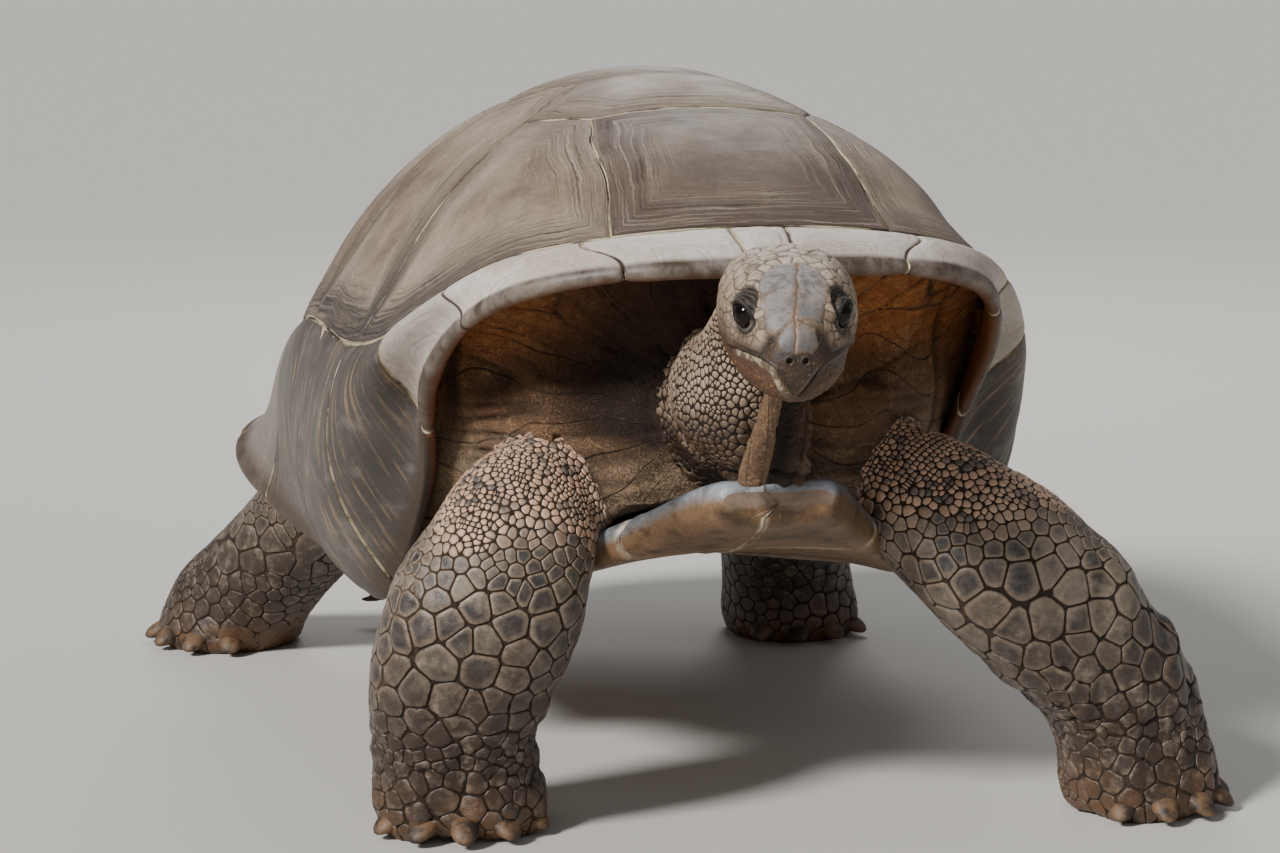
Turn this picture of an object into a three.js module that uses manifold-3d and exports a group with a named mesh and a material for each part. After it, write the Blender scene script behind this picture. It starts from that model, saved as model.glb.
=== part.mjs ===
// Aldabra giant tortoise, a still life-size model, walking with the head raised.
// Millimetres, +Z up, nose toward -Y, the animal's left toward +X, feet on Z = 0.
import * as THREE from 'three';
import { mergeVertices } from 'three/addons/utils/BufferGeometryUtils.js';
import Module from 'manifold-3d';

const wasm = await Module();
wasm.setup();

// ---- driving dimensions ----
const apex = { x: 0, y: -63, z: 682 };
const seamPlan = { halfWidth: 335, front: 493, rear: 480, power: 2.9 };
const rimPlan = { front: 550, rear: 550, power: 2.56 };
const scuteThickness = 10;
const sutureHalfGap = 1.5;
const fleshInset = 16;
const eyeRadius = 12;
const socketGap = 0.6;
const contactGap = 1.2;
const clawLength = 26;
const clawRoot = 20;
const clawWidth = 13;
const clawTip = 6;
const footHeight = 30;

// The carapace round the compass: angle in degrees from the nose to the tail, the same on both
// sides, with heights, the rim's half width, and the slopes with which the marginals leave the
// seam and reach the rim. Just above the seam the dome dips in before the marginals flare.
const compass = [0, 24, 41, 49, 62, 80, 100, 118, 138, 158, 180];
const seamHeight = [569, 545, 478, 448, 434, 436, 430, 412, 390, 372, 362];
const rimHeight = [543, 517, 412, 300, 190, 168, 180, 225, 272, 280, 262];
const rimHalfWidth = [337, 335, 302, 271, 286, 294, 306, 376, 446, 420, 380];
const seamSlope = [18, 25, 45, 60, 70, 78, 74, 60, 48, 45, 45];
const rimSlope = [40, 50, 75, 110, 130, 140, 120, 70, 25, 25, 30];
const domeSweep = [38, 36, 38, 42, 46, 50, 54, 57, 60, 62, 64];
const flareDip = [3, 16, 20, 15, 9, 5, 3, 4, 6, 6, 4];
const flareReach = 0.9;
const flareWidth = 0.13;
const marginalMargin = 0.2;
const marginalEnds = [2.9, 18, 34, 45, 60, 79, 99, 118, 134, 147, 158, 169];

// The body inside, at the same kind of stations.
const wallCompass = [0, 30, 50, 65, 90, 120, 140, 165, 180];
const wallReach = [0.3, 0.27, 0.36, 0.57, 0.76, 0.45, 0.2, 0.2, 0.2];
const wallDepth = [0.84, 0.84, 0.86, 0.97, 0.98, 0.93, 0.86, 0.86, 0.86];
const wallHeight = [455, 440, 380, 300, 300, 300, 290, 290, 290];

// The plastron: distance along Y, half width, height of the underside on the middle line and
// at the edges, and thickness.
const plastronLength = [-522, -490, -430, -350, -240, -185, -125, 40, 195, 235, 320, 400, 428];
const plastronHalfWidth = [52, 78, 118, 170, 212, 222, 276, 287, 282, 212, 182, 120, 70];
const plastronMiddle = [303, 289, 268, 250, 229, 221, 212, 194, 186, 188, 198, 212, 218];
const plastronEdge = [307, 294, 262, 226, 198, 188, 178, 168, 172, 180, 196, 216, 222];
const plastronThickness = [46, 48, 40, 32, 28, 26, 24, 24, 24, 24, 24, 22, 20];
const plastronLean = [13, 13, 10, 5, 0, 0, 0, 0, 0, 0, 0, 0, 0];
const plastronPlates = [
  ['plastron_gular', -522, -425],
  ['plastron_humeral', -425, -235],
  ['plastron_pectoral', -235, -125],
  ['plastron_abdominal', -125, 195],
  ['plastron_femoral', 195, 330],
  ['plastron_anal', 330, 428],
];

// ---- colours ----
const colours = {
  carapace: 0x6e6053,
  marginal: 0x6a6058,
  plastron: 0x564a40,
  skin: 0x6b5543,
  leg: 0x857663,
  head: 0x6d6656,
  eye: 0x15100d,
};

function finish(colour, roughness) {
  return new THREE.MeshStandardMaterial({ color: colour, roughness, metalness: 0 });
}

const carapaceFinish = finish(colours.carapace, 0.6);
const marginalFinish = finish(colours.marginal, 0.6);
const plastronFinish = finish(colours.plastron, 0.55);
const skinFinish = finish(colours.skin, 0.8);
const legFinish = finish(colours.leg, 0.7);
const headFinish = finish(colours.head, 0.65);
const eyeFinish = finish(colours.eye, 0.1);

const tortoise = new THREE.Group();

// ---- small mathematics ----
const degree = Math.PI / 180;

// A smooth curve through values at stations, level at both ends.
function through(stations, values, at) {
  const last = stations.length - 1;
  const x = Math.min(Math.max(at, stations[0]), stations[last]);
  let i = 0;
  while (i < last - 1 && x >= stations[i + 1]) i += 1;
  const slope = (k) => (k === 0 || k === last ? 0
    : (values[k + 1] - values[k - 1]) / (stations[k + 1] - stations[k - 1]));
  const step = stations[i + 1] - stations[i];
  const t = (x - stations[i]) / step;
  const rise = (1 + 2 * t) * (1 - t) ** 2 * values[i] + t * t * (3 - 2 * t) * values[i + 1];
  return rise + t * (1 - t) ** 2 * step * slope(i) + t * t * (t - 1) * step * slope(i + 1);
}

// Straight lines between the values, where an outline has corners.
function between(stations, values, at) {
  const last = stations.length - 1;
  const x = Math.min(Math.max(at, stations[0]), stations[last]);
  let i = 0;
  while (i < last - 1 && x >= stations[i + 1]) i += 1;
  const t = (x - stations[i]) / (stations[i + 1] - stations[i]);
  return values[i] + (values[i + 1] - values[i]) * t;
}

// A superellipse about the origin, met by the ray at this angle from the nose.
function planPoint(angle, halfWidth, front, rear, power, z) {
  const long = Math.cos(angle) > 0 ? front : rear;
  const side = (Math.abs(Math.sin(angle)) / halfWidth) ** power;
  const ahead = (Math.abs(Math.cos(angle)) / long) ** power;
  const radius = (side + ahead) ** (-1 / power);
  return new THREE.Vector3(radius * Math.sin(angle), -radius * Math.cos(angle), z);
}

function compassDegrees(angle) {
  const turned = ((angle / degree + 180) % 360 + 360) % 360 - 180;
  return Math.abs(turned);
}

// ---- the carapace surface ----
function seamPoint(angle) {
  const z = through(compass, seamHeight, compassDegrees(angle));
  return planPoint(angle, seamPlan.halfWidth, seamPlan.front, seamPlan.rear, seamPlan.power, z);
}

function rimPoint(angle) {
  const at = compassDegrees(angle);
  const z = through(compass, rimHeight, at);
  const halfWidth = through(compass, rimHalfWidth, at);
  return planPoint(angle, halfWidth, rimPlan.front, rimPlan.rear, rimPlan.power, z);
}

function slopeAlong(angle, outward, slope) {
  const fall = slope * degree;
  return outward.clone().multiplyScalar(Math.cos(fall)).setZ(-Math.sin(fall));
}

// Reach 0 is the top of the dome, 1 the seam round the costals, 2 the free rim: an arc from the
// top to the seam, then a cubic curve from the seam to the rim.
function shellPoint(angle, reach) {
  const depth = through(compass, flareDip, compassDegrees(angle));
  const dip = depth * Math.exp(-(((reach - flareReach) / flareWidth) ** 2));
  const point = plainShellPoint(angle, reach);
  return point.sub(new THREE.Vector3(Math.sin(angle), -Math.cos(angle), 0).multiplyScalar(dip));
}

function plainShellPoint(angle, reach) {
  const at = compassDegrees(angle);
  const seam = seamPoint(angle);
  if (reach <= 1) {
    const sweep = through(compass, domeSweep, at) * degree;
    const part = reach * sweep;
    const out = Math.sin(part) / Math.sin(sweep);
    const up = (Math.cos(part) - Math.cos(sweep)) / (1 - Math.cos(sweep));
    return new THREE.Vector3(
      apex.x + (seam.x - apex.x) * out,
      apex.y + (seam.y - apex.y) * out,
      seam.z + (apex.z - seam.z) * up,
    );
  }
  const rim = rimPoint(angle);
  const along = seamPoint(angle + 0.001).sub(seamPoint(angle - 0.001));
  const outward = new THREE.Vector3(-along.y, along.x, 0).normalize();
  if (outward.dot(seam) < 0) outward.negate();
  const pull = 0.42 * seam.distanceTo(rim);
  const leave = slopeAlong(angle, outward, through(compass, seamSlope, at)).multiplyScalar(pull);
  const arrive = slopeAlong(angle, outward, through(compass, rimSlope, at)).multiplyScalar(pull);
  const curve = new THREE.CubicBezierCurve3(seam, leave.add(seam), rim.clone().sub(arrive), rim);
  return curve.getPoint(reach - 1);
}

// A point on the disc: a to the side and b to the tail, with the reach as its distance.
function discPoint(a, b) {
  return shellPoint(Math.atan2(a, -b), Math.hypot(a, b));
}

// The inward normal, with reaches kept on one side of the seam.
function inwardNormal(angle, reach) {
  const step = 0.01;
  const low = reach > 1 ? Math.max(reach - step, 1) : Math.max(reach - step, 0);
  const high = reach > 1 ? Math.min(reach + step, 2) : Math.min(reach + step, 1);
  const down = shellPoint(angle, high).sub(shellPoint(angle, low));
  const round = shellPoint(angle + step, Math.max(reach, 0.02));
  round.sub(shellPoint(angle - step, Math.max(reach, 0.02)));
  return round.cross(down).normalize();
}

function insetPoint(angle, reach, depth) {
  if (reach < 0.02) return shellPoint(angle, reach).setZ(apex.z - depth);
  return shellPoint(angle, reach).addScaledVector(inwardNormal(angle, reach), depth);
}

// ---- closed meshes ----
// Rings of equal length become one closed body, with a fan to the middle of the first and last.
function closedRings(rings, firstPole, lastPole) {
  const count = rings[0].length;
  const points = rings.flat();
  const faces = [];
  for (let r = 0; r < rings.length - 1; r += 1) {
    for (let i = 0; i < count; i += 1) {
      const here = r * count + i;
      const next = r * count + ((i + 1) % count);
      faces.push(here, next, here + count, next, next + count, here + count);
    }
  }
  const start = points.push(firstPole) - 1;
  const end = points.push(lastPole) - 1;
  const lastRing = (rings.length - 1) * count;
  for (let i = 0; i < count; i += 1) {
    faces.push(start, (i + 1) % count, i);
    faces.push(end, lastRing + i, lastRing + ((i + 1) % count));
  }
  return outwardGeometry(points, faces);
}

function signedVolume(points, faces) {
  let volume = 0;
  for (let i = 0; i < faces.length; i += 3) {
    const [p, q, r] = [points[faces[i]], points[faces[i + 1]], points[faces[i + 2]]];
    volume += p.dot(q.clone().cross(r)) / 6;
  }
  return volume;
}

function outwardGeometry(points, faces) {
  const turned = signedVolume(points, faces) < 0 ? faces.slice().reverse() : faces;
  const geometry = new THREE.BufferGeometry();
  geometry.setAttribute('position', new THREE.Float32BufferAttribute(points.flatMap((p) => p.toArray()), 3));
  geometry.setIndex(turned);
  geometry.computeVertexNormals();
  return geometry;
}

function addMesh(name, geometry, material, parent = tortoise) {
  const mesh = new THREE.Mesh(geometry, material);
  mesh.name = name;
  parent.add(mesh);
  return mesh;
}

function middle(points) {
  const sum = new THREE.Vector3();
  points.forEach((p) => sum.add(p));
  return sum.divideScalar(points.length);
}

// ---- joining and cutting ----
function solidOf(geometry) {
  const bare = geometry.clone();
  bare.deleteAttribute('normal');
  bare.deleteAttribute('uv');
  const merged = mergeVertices(bare, 0.001);
  return new wasm.Manifold(new wasm.Mesh({
    numProp: 3,
    vertProperties: new Float32Array(merged.attributes.position.array),
    triVerts: new Uint32Array(merged.index.array),
  }));
}

function geometryOf(solid) {
  const mesh = solid.getMesh();
  const geometry = new THREE.BufferGeometry();
  geometry.setAttribute('position', new THREE.Float32BufferAttribute(mesh.vertProperties, 3));
  geometry.setIndex(Array.from(mesh.triVerts));
  geometry.computeVertexNormals();
  return geometry;
}

// The same body swollen by the contact gap, to cut a neighbour that then stands clear of it.
function swollen(geometry) {
  const bare = geometry.clone();
  bare.deleteAttribute('normal');
  bare.deleteAttribute('uv');
  const merged = mergeVertices(bare, 0.001);
  merged.computeVertexNormals();
  const { position, normal } = merged.attributes;
  for (let i = 0; i < position.count; i += 1) {
    const p = new THREE.Vector3().fromBufferAttribute(position, i);
    p.addScaledVector(new THREE.Vector3().fromBufferAttribute(normal, i), contactGap);
    position.setXYZ(i, p.x, p.y, p.z);
  }
  return merged;
}

function cutBy(geometry, tools) {
  let solid = solidOf(geometry);
  tools.forEach((tool) => {
    solid = solid.subtract(solidOf(tool));
  });
  return geometryOf(solid);
}

// ---- scutes ----
// A plate between the shell surface and a copy of it set in by the thickness. Its outline is
// given on the disc and stays short of the suture; a half ring and the middle carry its curve.
function scuteGeometry(outline) {
  const mean = (axis) => outline.reduce((sum, p) => sum + p[axis], 0) / outline.length;
  const centre = [mean(0), mean(1)];
  const centrePoint = discPoint(centre[0], centre[1]);
  const edge = outline.map(([a, b]) => {
    const length = discPoint(a, b).distanceTo(centrePoint);
    const keep = 1 - (sutureHalfGap * 1.3) / length;
    return [centre[0] + (a - centre[0]) * keep, centre[1] + (b - centre[1]) * keep];
  });
  const half = edge.map(([a, b]) => [(a + centre[0]) / 2, (b + centre[1]) / 2]);
  const atDepth = (depth) => ([a, b]) => insetPoint(Math.atan2(a, -b), Math.hypot(a, b), depth);
  const rings = [
    half.map(atDepth(0)),
    edge.map(atDepth(0)),
    edge.map(atDepth(scuteThickness)),
    half.map(atDepth(scuteThickness)),
  ];
  return closedRings(rings, atDepth(0)(centre), atDepth(scuteThickness)(centre));
}

// Corners joined by straight steps; a corner may say how many steps follow it.
function steppedOutline(corners, steps) {
  const outline = [];
  corners.forEach((corner, i) => {
    const next = corners[(i + 1) % corners.length];
    for (let k = 0; k < steps[i]; k += 1) {
      const t = k / steps[i];
      outline.push([corner[0] + (next[0] - corner[0]) * t, corner[1] + (next[1] - corner[1]) * t]);
    }
  });
  return outline;
}

function arcOutline(fromDegrees, toDegrees, reach, steps) {
  const arc = [];
  for (let k = 0; k < steps; k += 1) {
    const angle = (fromDegrees + ((toDegrees - fromDegrees) * k) / steps) * degree;
    arc.push([reach * Math.sin(angle), -reach * Math.cos(angle)]);
  }
  return arc;
}

// Where the vertebrals' corners and the costals' sides lie on the disc.
const vertebralFront = { angle: 15 };
const vertebralRear = { angle: 161 };
const columnSeams = [-0.44, -0.06, 0.32, 0.63];
const columnHalf = [0.2, 0.21, 0.19, 0.17];
const columnCorners = [[0.32, -0.25], [0.33, 0.12], [0.29, 0.46]];
const costalEnds = [57, 92, 123];

function onDisc(degrees, reach) {
  return [reach * Math.sin(degrees * degree), -reach * Math.cos(degrees * degree)];
}

function mirrored(corner) {
  return [-corner[0], corner[1]];
}

function addVertebrals() {
  const seamCorner = (i) => [columnHalf[i], columnSeams[i]];
  const first = [
    ...arcOutline(-vertebralFront.angle, vertebralFront.angle, 1, 4),
    ...steppedOutline([onDisc(vertebralFront.angle, 1), seamCorner(0), mirrored(seamCorner(0)),
      mirrored(onDisc(vertebralFront.angle, 1))], [4, 3, 4, 0]),
  ];
  addMesh('vertebral_1', scuteGeometry(first), carapaceFinish);
  for (let i = 0; i < 3; i += 1) {
    const corners = [mirrored(seamCorner(i)), seamCorner(i), columnCorners[i], seamCorner(i + 1),
      mirrored(seamCorner(i + 1)), mirrored(columnCorners[i])];
    const outline = steppedOutline(corners, [3, 3, 3, 3, 3, 3]);
    addMesh(`vertebral_${i + 2}`, scuteGeometry(outline), carapaceFinish);
  }
  const last = [
    ...arcOutline(vertebralRear.angle, 360 - vertebralRear.angle, 1, 4),
    ...steppedOutline([onDisc(-vertebralRear.angle, 1), mirrored(seamCorner(3)), seamCorner(3),
      onDisc(vertebralRear.angle, 1)], [3, 3, 3, 0]),
  ];
  addMesh('vertebral_5', scuteGeometry(last), carapaceFinish);
}

function addCostals() {
  const starts = [vertebralFront.angle, ...costalEnds];
  const ends = [...costalEnds, vertebralRear.angle];
  for (let i = 0; i < 4; i += 1) {
    const inner = [];
    if (i < 3) inner.push(columnCorners[i]);
    inner.push([columnHalf[i], columnSeams[i]]);
    if (i > 0) inner.push(columnCorners[i - 1]);
    const path = [onDisc(ends[i], 1), ...inner, onDisc(starts[i], 1)];
    const steps = path.map((p, k) => (k === path.length - 1 ? 0 : 3));
    const outline = [...arcOutline(starts[i], ends[i], 1, 6), ...steppedOutline(path, steps)];
    addMesh(`costal_left_${i + 1}`, scuteGeometry(outline), carapaceFinish);
    addMesh(`costal_right_${i + 1}`, scuteGeometry(outline.map(mirrored)), carapaceFinish);
  }
}

// The marginals stand a little further apart than the costals do.
function marginalOutline(start, end) {
  const side = [1, 1.25, 1.5, 1.75, 2];
  const from = start + marginalMargin;
  const to = end - marginalMargin;
  const span = to - from;
  const top = [from, from + span / 3, to - span / 3].map((angle) => onDisc(angle, side[0]));
  const bottom = [to, to - span / 3, from + span / 3].map((angle) => onDisc(angle, side[4]));
  const down = side.slice(0, 4).map((reach) => onDisc(to, reach));
  const up = side.slice(1).reverse().map((reach) => onDisc(from, reach));
  return [...top, ...down, ...bottom, ...up];
}

function addMarginals() {
  addMesh('nuchal', scuteGeometry(marginalOutline(-marginalEnds[0], marginalEnds[0])), marginalFinish);
  for (let i = 1; i < marginalEnds.length; i += 1) {
    const outline = marginalOutline(marginalEnds[i - 1], marginalEnds[i]);
    addMesh(`marginal_left_${i}`, scuteGeometry(outline), marginalFinish);
    addMesh(`marginal_right_${i}`, scuteGeometry(outline.map(mirrored)), marginalFinish);
  }
  const tailEnd = marginalEnds[marginalEnds.length - 1];
  addMesh('supracaudal', scuteGeometry(marginalOutline(tailEnd, 360 - tailEnd)), marginalFinish);
}

// ---- plastron ----
function plastronPoint(across, y, upper, growth = 0) {
  const half = between(plastronLength, plastronHalfWidth, y) + growth;
  const level = through(plastronLength, plastronMiddle, y);
  const edge = through(plastronLength, plastronEdge, y);
  const thick = upper ? through(plastronLength, plastronThickness, y) : 0;
  const rounding = upper ? growth - 4 * across ** 6 : 4 * across ** 6 - growth;
  const lean = through(plastronLength, plastronLean, y);
  return new THREE.Vector3(lean + half * across, y, level + (edge - level) * across ** 2 + thick + rounding);
}

// One band of the plastron across the whole width: its underside, its edge and its top.
// A growth makes the tool that cuts a limb clear of it.
function plastronPlateGeometry(from, to, growth = 0) {
  const start = from + sutureHalfGap - growth;
  const end = to - sutureHalfGap + growth;
  const acrossSteps = 6;
  const alongSteps = Math.max(2, Math.round((to - from) / 60));
  const rings = [];
  for (let k = 0; k <= alongSteps; k += 1) {
    const y = start + ((end - start) * k) / alongSteps;
    const ring = [];
    for (let i = 0; i <= acrossSteps; i += 1) {
      ring.push(plastronPoint(-1 + (2 * i) / acrossSteps, y, false, growth));
    }
    for (let i = acrossSteps; i >= 0; i -= 1) {
      ring.push(plastronPoint(-1 + (2 * i) / acrossSteps, y, true, growth));
    }
    rings.push(ring);
  }
  return closedRings(rings, middle(rings[0]), middle(rings[rings.length - 1]));
}

function addPlastron() {
  plastronPlates.forEach(([name, from, to]) => {
    addMesh(name, plastronPlateGeometry(from, to), plastronFinish);
  });
}

// ---- the body inside the shell ----
// Under the dome it follows the scutes; below the seam it falls as a wall, set back at the front
// and rear openings, to the top of the plastron.
function trunkGeometry() {
  const columns = 28;
  const floorGap = 3;
  const ringAt = (place) => {
    const turn = (2 * Math.PI) / columns;
    return Array.from({ length: columns }, (unused, i) => place(i * turn));
  };
  const wallTop = (angle) => through(wallCompass, wallReach, compassDegrees(angle));
  const wallMiddle = (angle) => {
    const at = compassDegrees(angle);
    const depth = through(wallCompass, wallDepth, at);
    const z = through(wallCompass, wallHeight, at);
    return seamPoint(angle).multiplyScalar(depth).setZ(z);
  };
  const foot = (share) => (angle) => {
    const place = planPoint(angle, 258, 425, 398, 2.6, 0).multiplyScalar(share);
    const half = between(plastronLength, plastronHalfWidth, place.y);
    const limit = Math.max(half - 10, 40);
    place.x = Math.min(Math.max(place.x, -limit), limit);
    const across = place.x / half;
    return place.setZ(plastronPoint(across, place.y, true).z + floorGap + 6);
  };
  const rings = [
    ringAt((angle) => insetPoint(angle, 0.3, fleshInset)),
    ringAt((angle) => insetPoint(angle, 0.6, fleshInset)),
    ringAt((angle) => insetPoint(angle, 0.85, fleshInset)),
    ringAt((angle) => insetPoint(angle, 1.02, fleshInset)),
    ringAt((angle) => insetPoint(angle, 1 + wallTop(angle) * 0.5, fleshInset)),
    ringAt((angle) => insetPoint(angle, 1 + wallTop(angle), fleshInset)),
    ringAt(wallMiddle),
    ringAt(foot(1)),
    ringAt(foot(0.6)),
  ];
  const top = new THREE.Vector3(apex.x, apex.y, apex.z - fleshInset);
  const floor = plastronPoint(0, 0, true);
  floor.z += floorGap;
  return closedRings(rings, top, floor);
}

// ---- limbs ----
// Rings of a superellipse square to a path. A station is x, y, z, half size along the body and
// half size across it.
function limbGeometry(stations, sides, heading, power) {
  const centres = stations.map(([x, y, z]) => new THREE.Vector3(x, y, z));
  const last = centres.length - 1;
  const rings = stations.map(([, , , along, across], k) => {
    const ahead = centres[Math.min(k + 1, last)].clone().sub(centres[Math.max(k - 1, 0)]).normalize();
    if (centres[k].z < footHeight) ahead.set(0, 0, -1);
    const front = heading.clone().addScaledVector(ahead, -heading.dot(ahead)).normalize();
    const side = ahead.clone().cross(front);
    return Array.from({ length: sides }, (unused, i) => {
      const turn = (i / sides) * 2 * Math.PI;
      const u = Math.sign(Math.cos(turn)) * Math.abs(Math.cos(turn)) ** (2 / power);
      const v = Math.sign(Math.sin(turn)) * Math.abs(Math.sin(turn)) ** (2 / power);
      return centres[k].clone().addScaledVector(front, u * along).addScaledVector(side, v * across);
    });
  });
  return closedRings(rings, centres[0], centres[last]);
}

// A blunt claw: a tapered prism laid forward and down, with its root inside the foot.
function clawGeometry(base, direction) {
  const length = clawLength + clawRoot;
  const claw = new THREE.CylinderGeometry(clawTip, clawWidth, length, 6, 1);
  claw.translate(0, length / 2 - clawRoot, 0);
  const turn = new THREE.Quaternion().setFromUnitVectors(new THREE.Vector3(0, 1, 0), direction);
  claw.applyQuaternion(turn);
  claw.translate(base.x, base.y, base.z);
  return claw;
}

const legs = [
  {
    name: 'foreleg_right',
    heading: [-0.1, -1, 0],
    stations: [
      [-128, -250, 300, 58, 56], [-158, -320, 302, 62, 62], [-186, -372, 292, 68, 72],
      [-206, -398, 262, 72, 80], [-226, -404, 220, 74, 90], [-246, -396, 168, 70, 88],
      [-254, -378, 110, 66, 82], [-250, -360, 62, 68, 80], [-246, -352, 24, 76, 84], [-246, -350, 0, 70, 78],
    ],
    claws: { height: 20, reach: 66, spread: [-62, -31, 0, 31, 62] },
  },
  {
    name: 'foreleg_left',
    heading: [0.35, -1, 0],
    stations: [
      [128, -250, 302, 58, 56], [154, -318, 306, 62, 60], [186, -370, 298, 66, 68],
      [220, -402, 272, 72, 76], [252, -418, 246, 76, 82], [288, -424, 212, 76, 82],
      [330, -424, 168, 74, 80], [366, -420, 126, 70, 76], [388, -414, 76, 68, 76],
      [398, -410, 28, 76, 76], [398, -408, 0, 70, 70],
    ],
    claws: { height: 22, reach: 66, spread: [-50, -20, 10, 40, 70] },
  },
  {
    name: 'hindleg_right',
    heading: [-0.75, -0.6, 0],
    stations: [
      [-160, 262, 300, 70, 66], [-208, 314, 264, 78, 72], [-262, 364, 202, 76, 70],
      [-306, 412, 138, 70, 66], [-342, 458, 86, 70, 68], [-368, 492, 44, 78, 76], [-376, 502, 14, 84, 80],
      [-376, 502, 0, 78, 74],
    ],
    claws: { height: 18, reach: 74, spread: [-45, -15, 15, 45] },
  },
  {
    name: 'hindleg_left',
    heading: [0.15, -1, 0],
    stations: [
      [165, 272, 300, 70, 66], [206, 318, 256, 78, 74], [238, 362, 190, 76, 74],
      [254, 398, 120, 74, 74], [264, 418, 66, 76, 76], [268, 424, 26, 82, 80], [268, 424, 0, 76, 74],
    ],
    claws: { height: 18, reach: 72, spread: [-45, -15, 15, 45] },
  },
];

function legGeometry(leg) {
  const sides = 14;
  const heading = new THREE.Vector3(...leg.heading).normalize();
  let solid = solidOf(limbGeometry(leg.stations, sides, heading, 2.3));
  const foot = leg.stations[leg.stations.length - 1];
  leg.claws.spread.forEach((turn) => {
    const out = heading.clone().applyAxisAngle(new THREE.Vector3(0, 0, 1), turn * degree);
    const base = new THREE.Vector3(foot[0], foot[1], leg.claws.height);
    base.addScaledVector(out, leg.claws.reach);
    const direction = out.clone().setZ(-0.3).normalize();
    solid = solid.add(solidOf(clawGeometry(base, direction)));
  });
  const belowSoles = new THREE.BoxGeometry(400, 400, 100).translate(foot[0], foot[1], -50);
  return geometryOf(solid.subtract(solidOf(belowSoles)));
}

// ---- head and neck ----
const headGroup = new THREE.Group();
headGroup.position.set(2.5, -574, 520);
headGroup.rotation.set(10 * degree, 0, -9.5 * degree, 'ZXY');
tortoise.add(headGroup);

// Distance from the back of the head, half width, top and bottom of the upper head.
const headSections = [
  [0, 47, 39, -46], [18, 54, 48, -50], [45, 58.5, 52.5, -50], [66, 58.5, 53, -46], [84, 57, 52, -31],
  [106, 51, 47, -23], [124, 45, 39.5, -21], [140, 38, 29.5, -21], [150, 32, 21, -23],
  [158, 26.5, 12, -29], [164, 21.5, 4, -40], [169, 13, -6, -42],
];
const jawSections = [
  [46, 42, -24, -57], [66, 48, -16, -59], [90, 49, -11, -60], [114, 43, -10, -58], [134, 35, -11, -55],
  [148, 26, -14, -52], [157, 16, -20, -49],
];
const eyePlace = { out: 37.5, ahead: 112, up: 16 };

function crossRing([ahead, halfWidth, top, bottom], sides, power) {
  const level = (top + bottom) / 2;
  const half = (top - bottom) / 2;
  return Array.from({ length: sides }, (unused, i) => {
    const turn = (i / sides) * 2 * Math.PI;
    const u = Math.sign(Math.cos(turn)) * Math.abs(Math.cos(turn)) ** (2 / power);
    const v = Math.sign(Math.sin(turn)) * Math.abs(Math.sin(turn)) ** (2 / power);
    return new THREE.Vector3(u * halfWidth, -ahead, level + v * half);
  });
}

function sectionsGeometry(sections, sides, power) {
  const rings = sections.map((section) => crossRing(section, sides, power));
  return closedRings(rings, middle(rings[0]), middle(rings[rings.length - 1]));
}

function ballGeometry(side, radius) {
  const ball = new THREE.SphereGeometry(radius, 12, 8);
  ball.translate(side * eyePlace.out, -eyePlace.ahead, eyePlace.up);
  return ball;
}

function addHead() {
  const whole = sectionsGeometry(headSections, 18, 2.3);
  const sockets = [-1, 1].map((side) => ballGeometry(side, eyeRadius + socketGap));
  addMesh('head', cutBy(whole, sockets), headFinish, headGroup);
  const jaw = cutBy(sectionsGeometry(jawSections, 12, 2.3), [swollen(whole)]);
  addMesh('lower_jaw', jaw, headFinish, headGroup);
  addMesh('eye_right', ballGeometry(-1, eyeRadius), eyeFinish, headGroup);
  addMesh('eye_left', ballGeometry(1, eyeRadius), eyeFinish, headGroup);
}

// The neck's first ring matches the back of the head; the others are x, y, z, half width, half
// height and the slope of the path in degrees.
const neckStations = [
  [-5, -552, 480, 54, 50, 42], [-14, -522, 444, 57, 57, 38], [-15, -480, 416, 62, 65, 30],
  [-5, -430, 400, 64, 70, 18], [4, -370, 386, 66, 72, 10], [4, -320, 380, 66, 72, 0],
];

function neckGeometry(tools) {
  const sides = 18;
  headGroup.updateMatrixWorld(true);
  const shoulder = 0.5;
  const firstSection = [-contactGap, headSections[0][1] - shoulder, headSections[0][2], headSections[0][3]];
  const first = crossRing(firstSection, sides, 2.3).map((p) => headGroup.localToWorld(p));
  const others = neckStations.map(([x, y, z, halfWidth, halfHeight, slope]) => {
    const tilt = slope * degree;
    return crossRing([0, halfWidth, halfHeight, -halfHeight], sides, 2.1).map((p) => new THREE.Vector3(
      x + p.x,
      y + p.z * Math.sin(tilt),
      z + p.z * Math.cos(tilt),
    ));
  });
  const rings = [first, ...others];
  const whole = closedRings(rings, middle(first), middle(rings[rings.length - 1]));
  return cutBy(whole, tools);
}

// ---- tail ----
const tailStations = [
  [0, 330, 285, 50, 44], [-8, 380, 283, 46, 42], [-22, 424, 266, 40, 36], [-48, 470, 222, 33, 30],
  [-94, 516, 148, 29, 27], [-154, 548, 66, 20, 19], [-204, 556, 32, 11, 10], [-222, 556, 24, 5, 5],
];

function tailGeometry(tools) {
  const stations = tailStations;
  const sides = 12;
  const centres = stations.map(([x, y, z]) => new THREE.Vector3(x, y, z));
  const last = centres.length - 1;
  const rings = stations.map(([, , , halfWidth, halfHeight], k) => {
    const ahead = centres[Math.min(k + 1, last)].clone().sub(centres[Math.max(k - 1, 0)]).normalize();
    const side = ahead.clone().cross(new THREE.Vector3(0, 0, 1)).normalize();
    const up = side.clone().cross(ahead);
    return Array.from({ length: sides }, (unused, i) => {
      const turn = (i / sides) * 2 * Math.PI;
      return centres[k].clone().addScaledVector(side, Math.cos(turn) * halfWidth)
        .addScaledVector(up, Math.sin(turn) * halfHeight);
    });
  });
  return cutBy(closedRings(rings, centres[0], centres[last]), tools);
}

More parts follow.
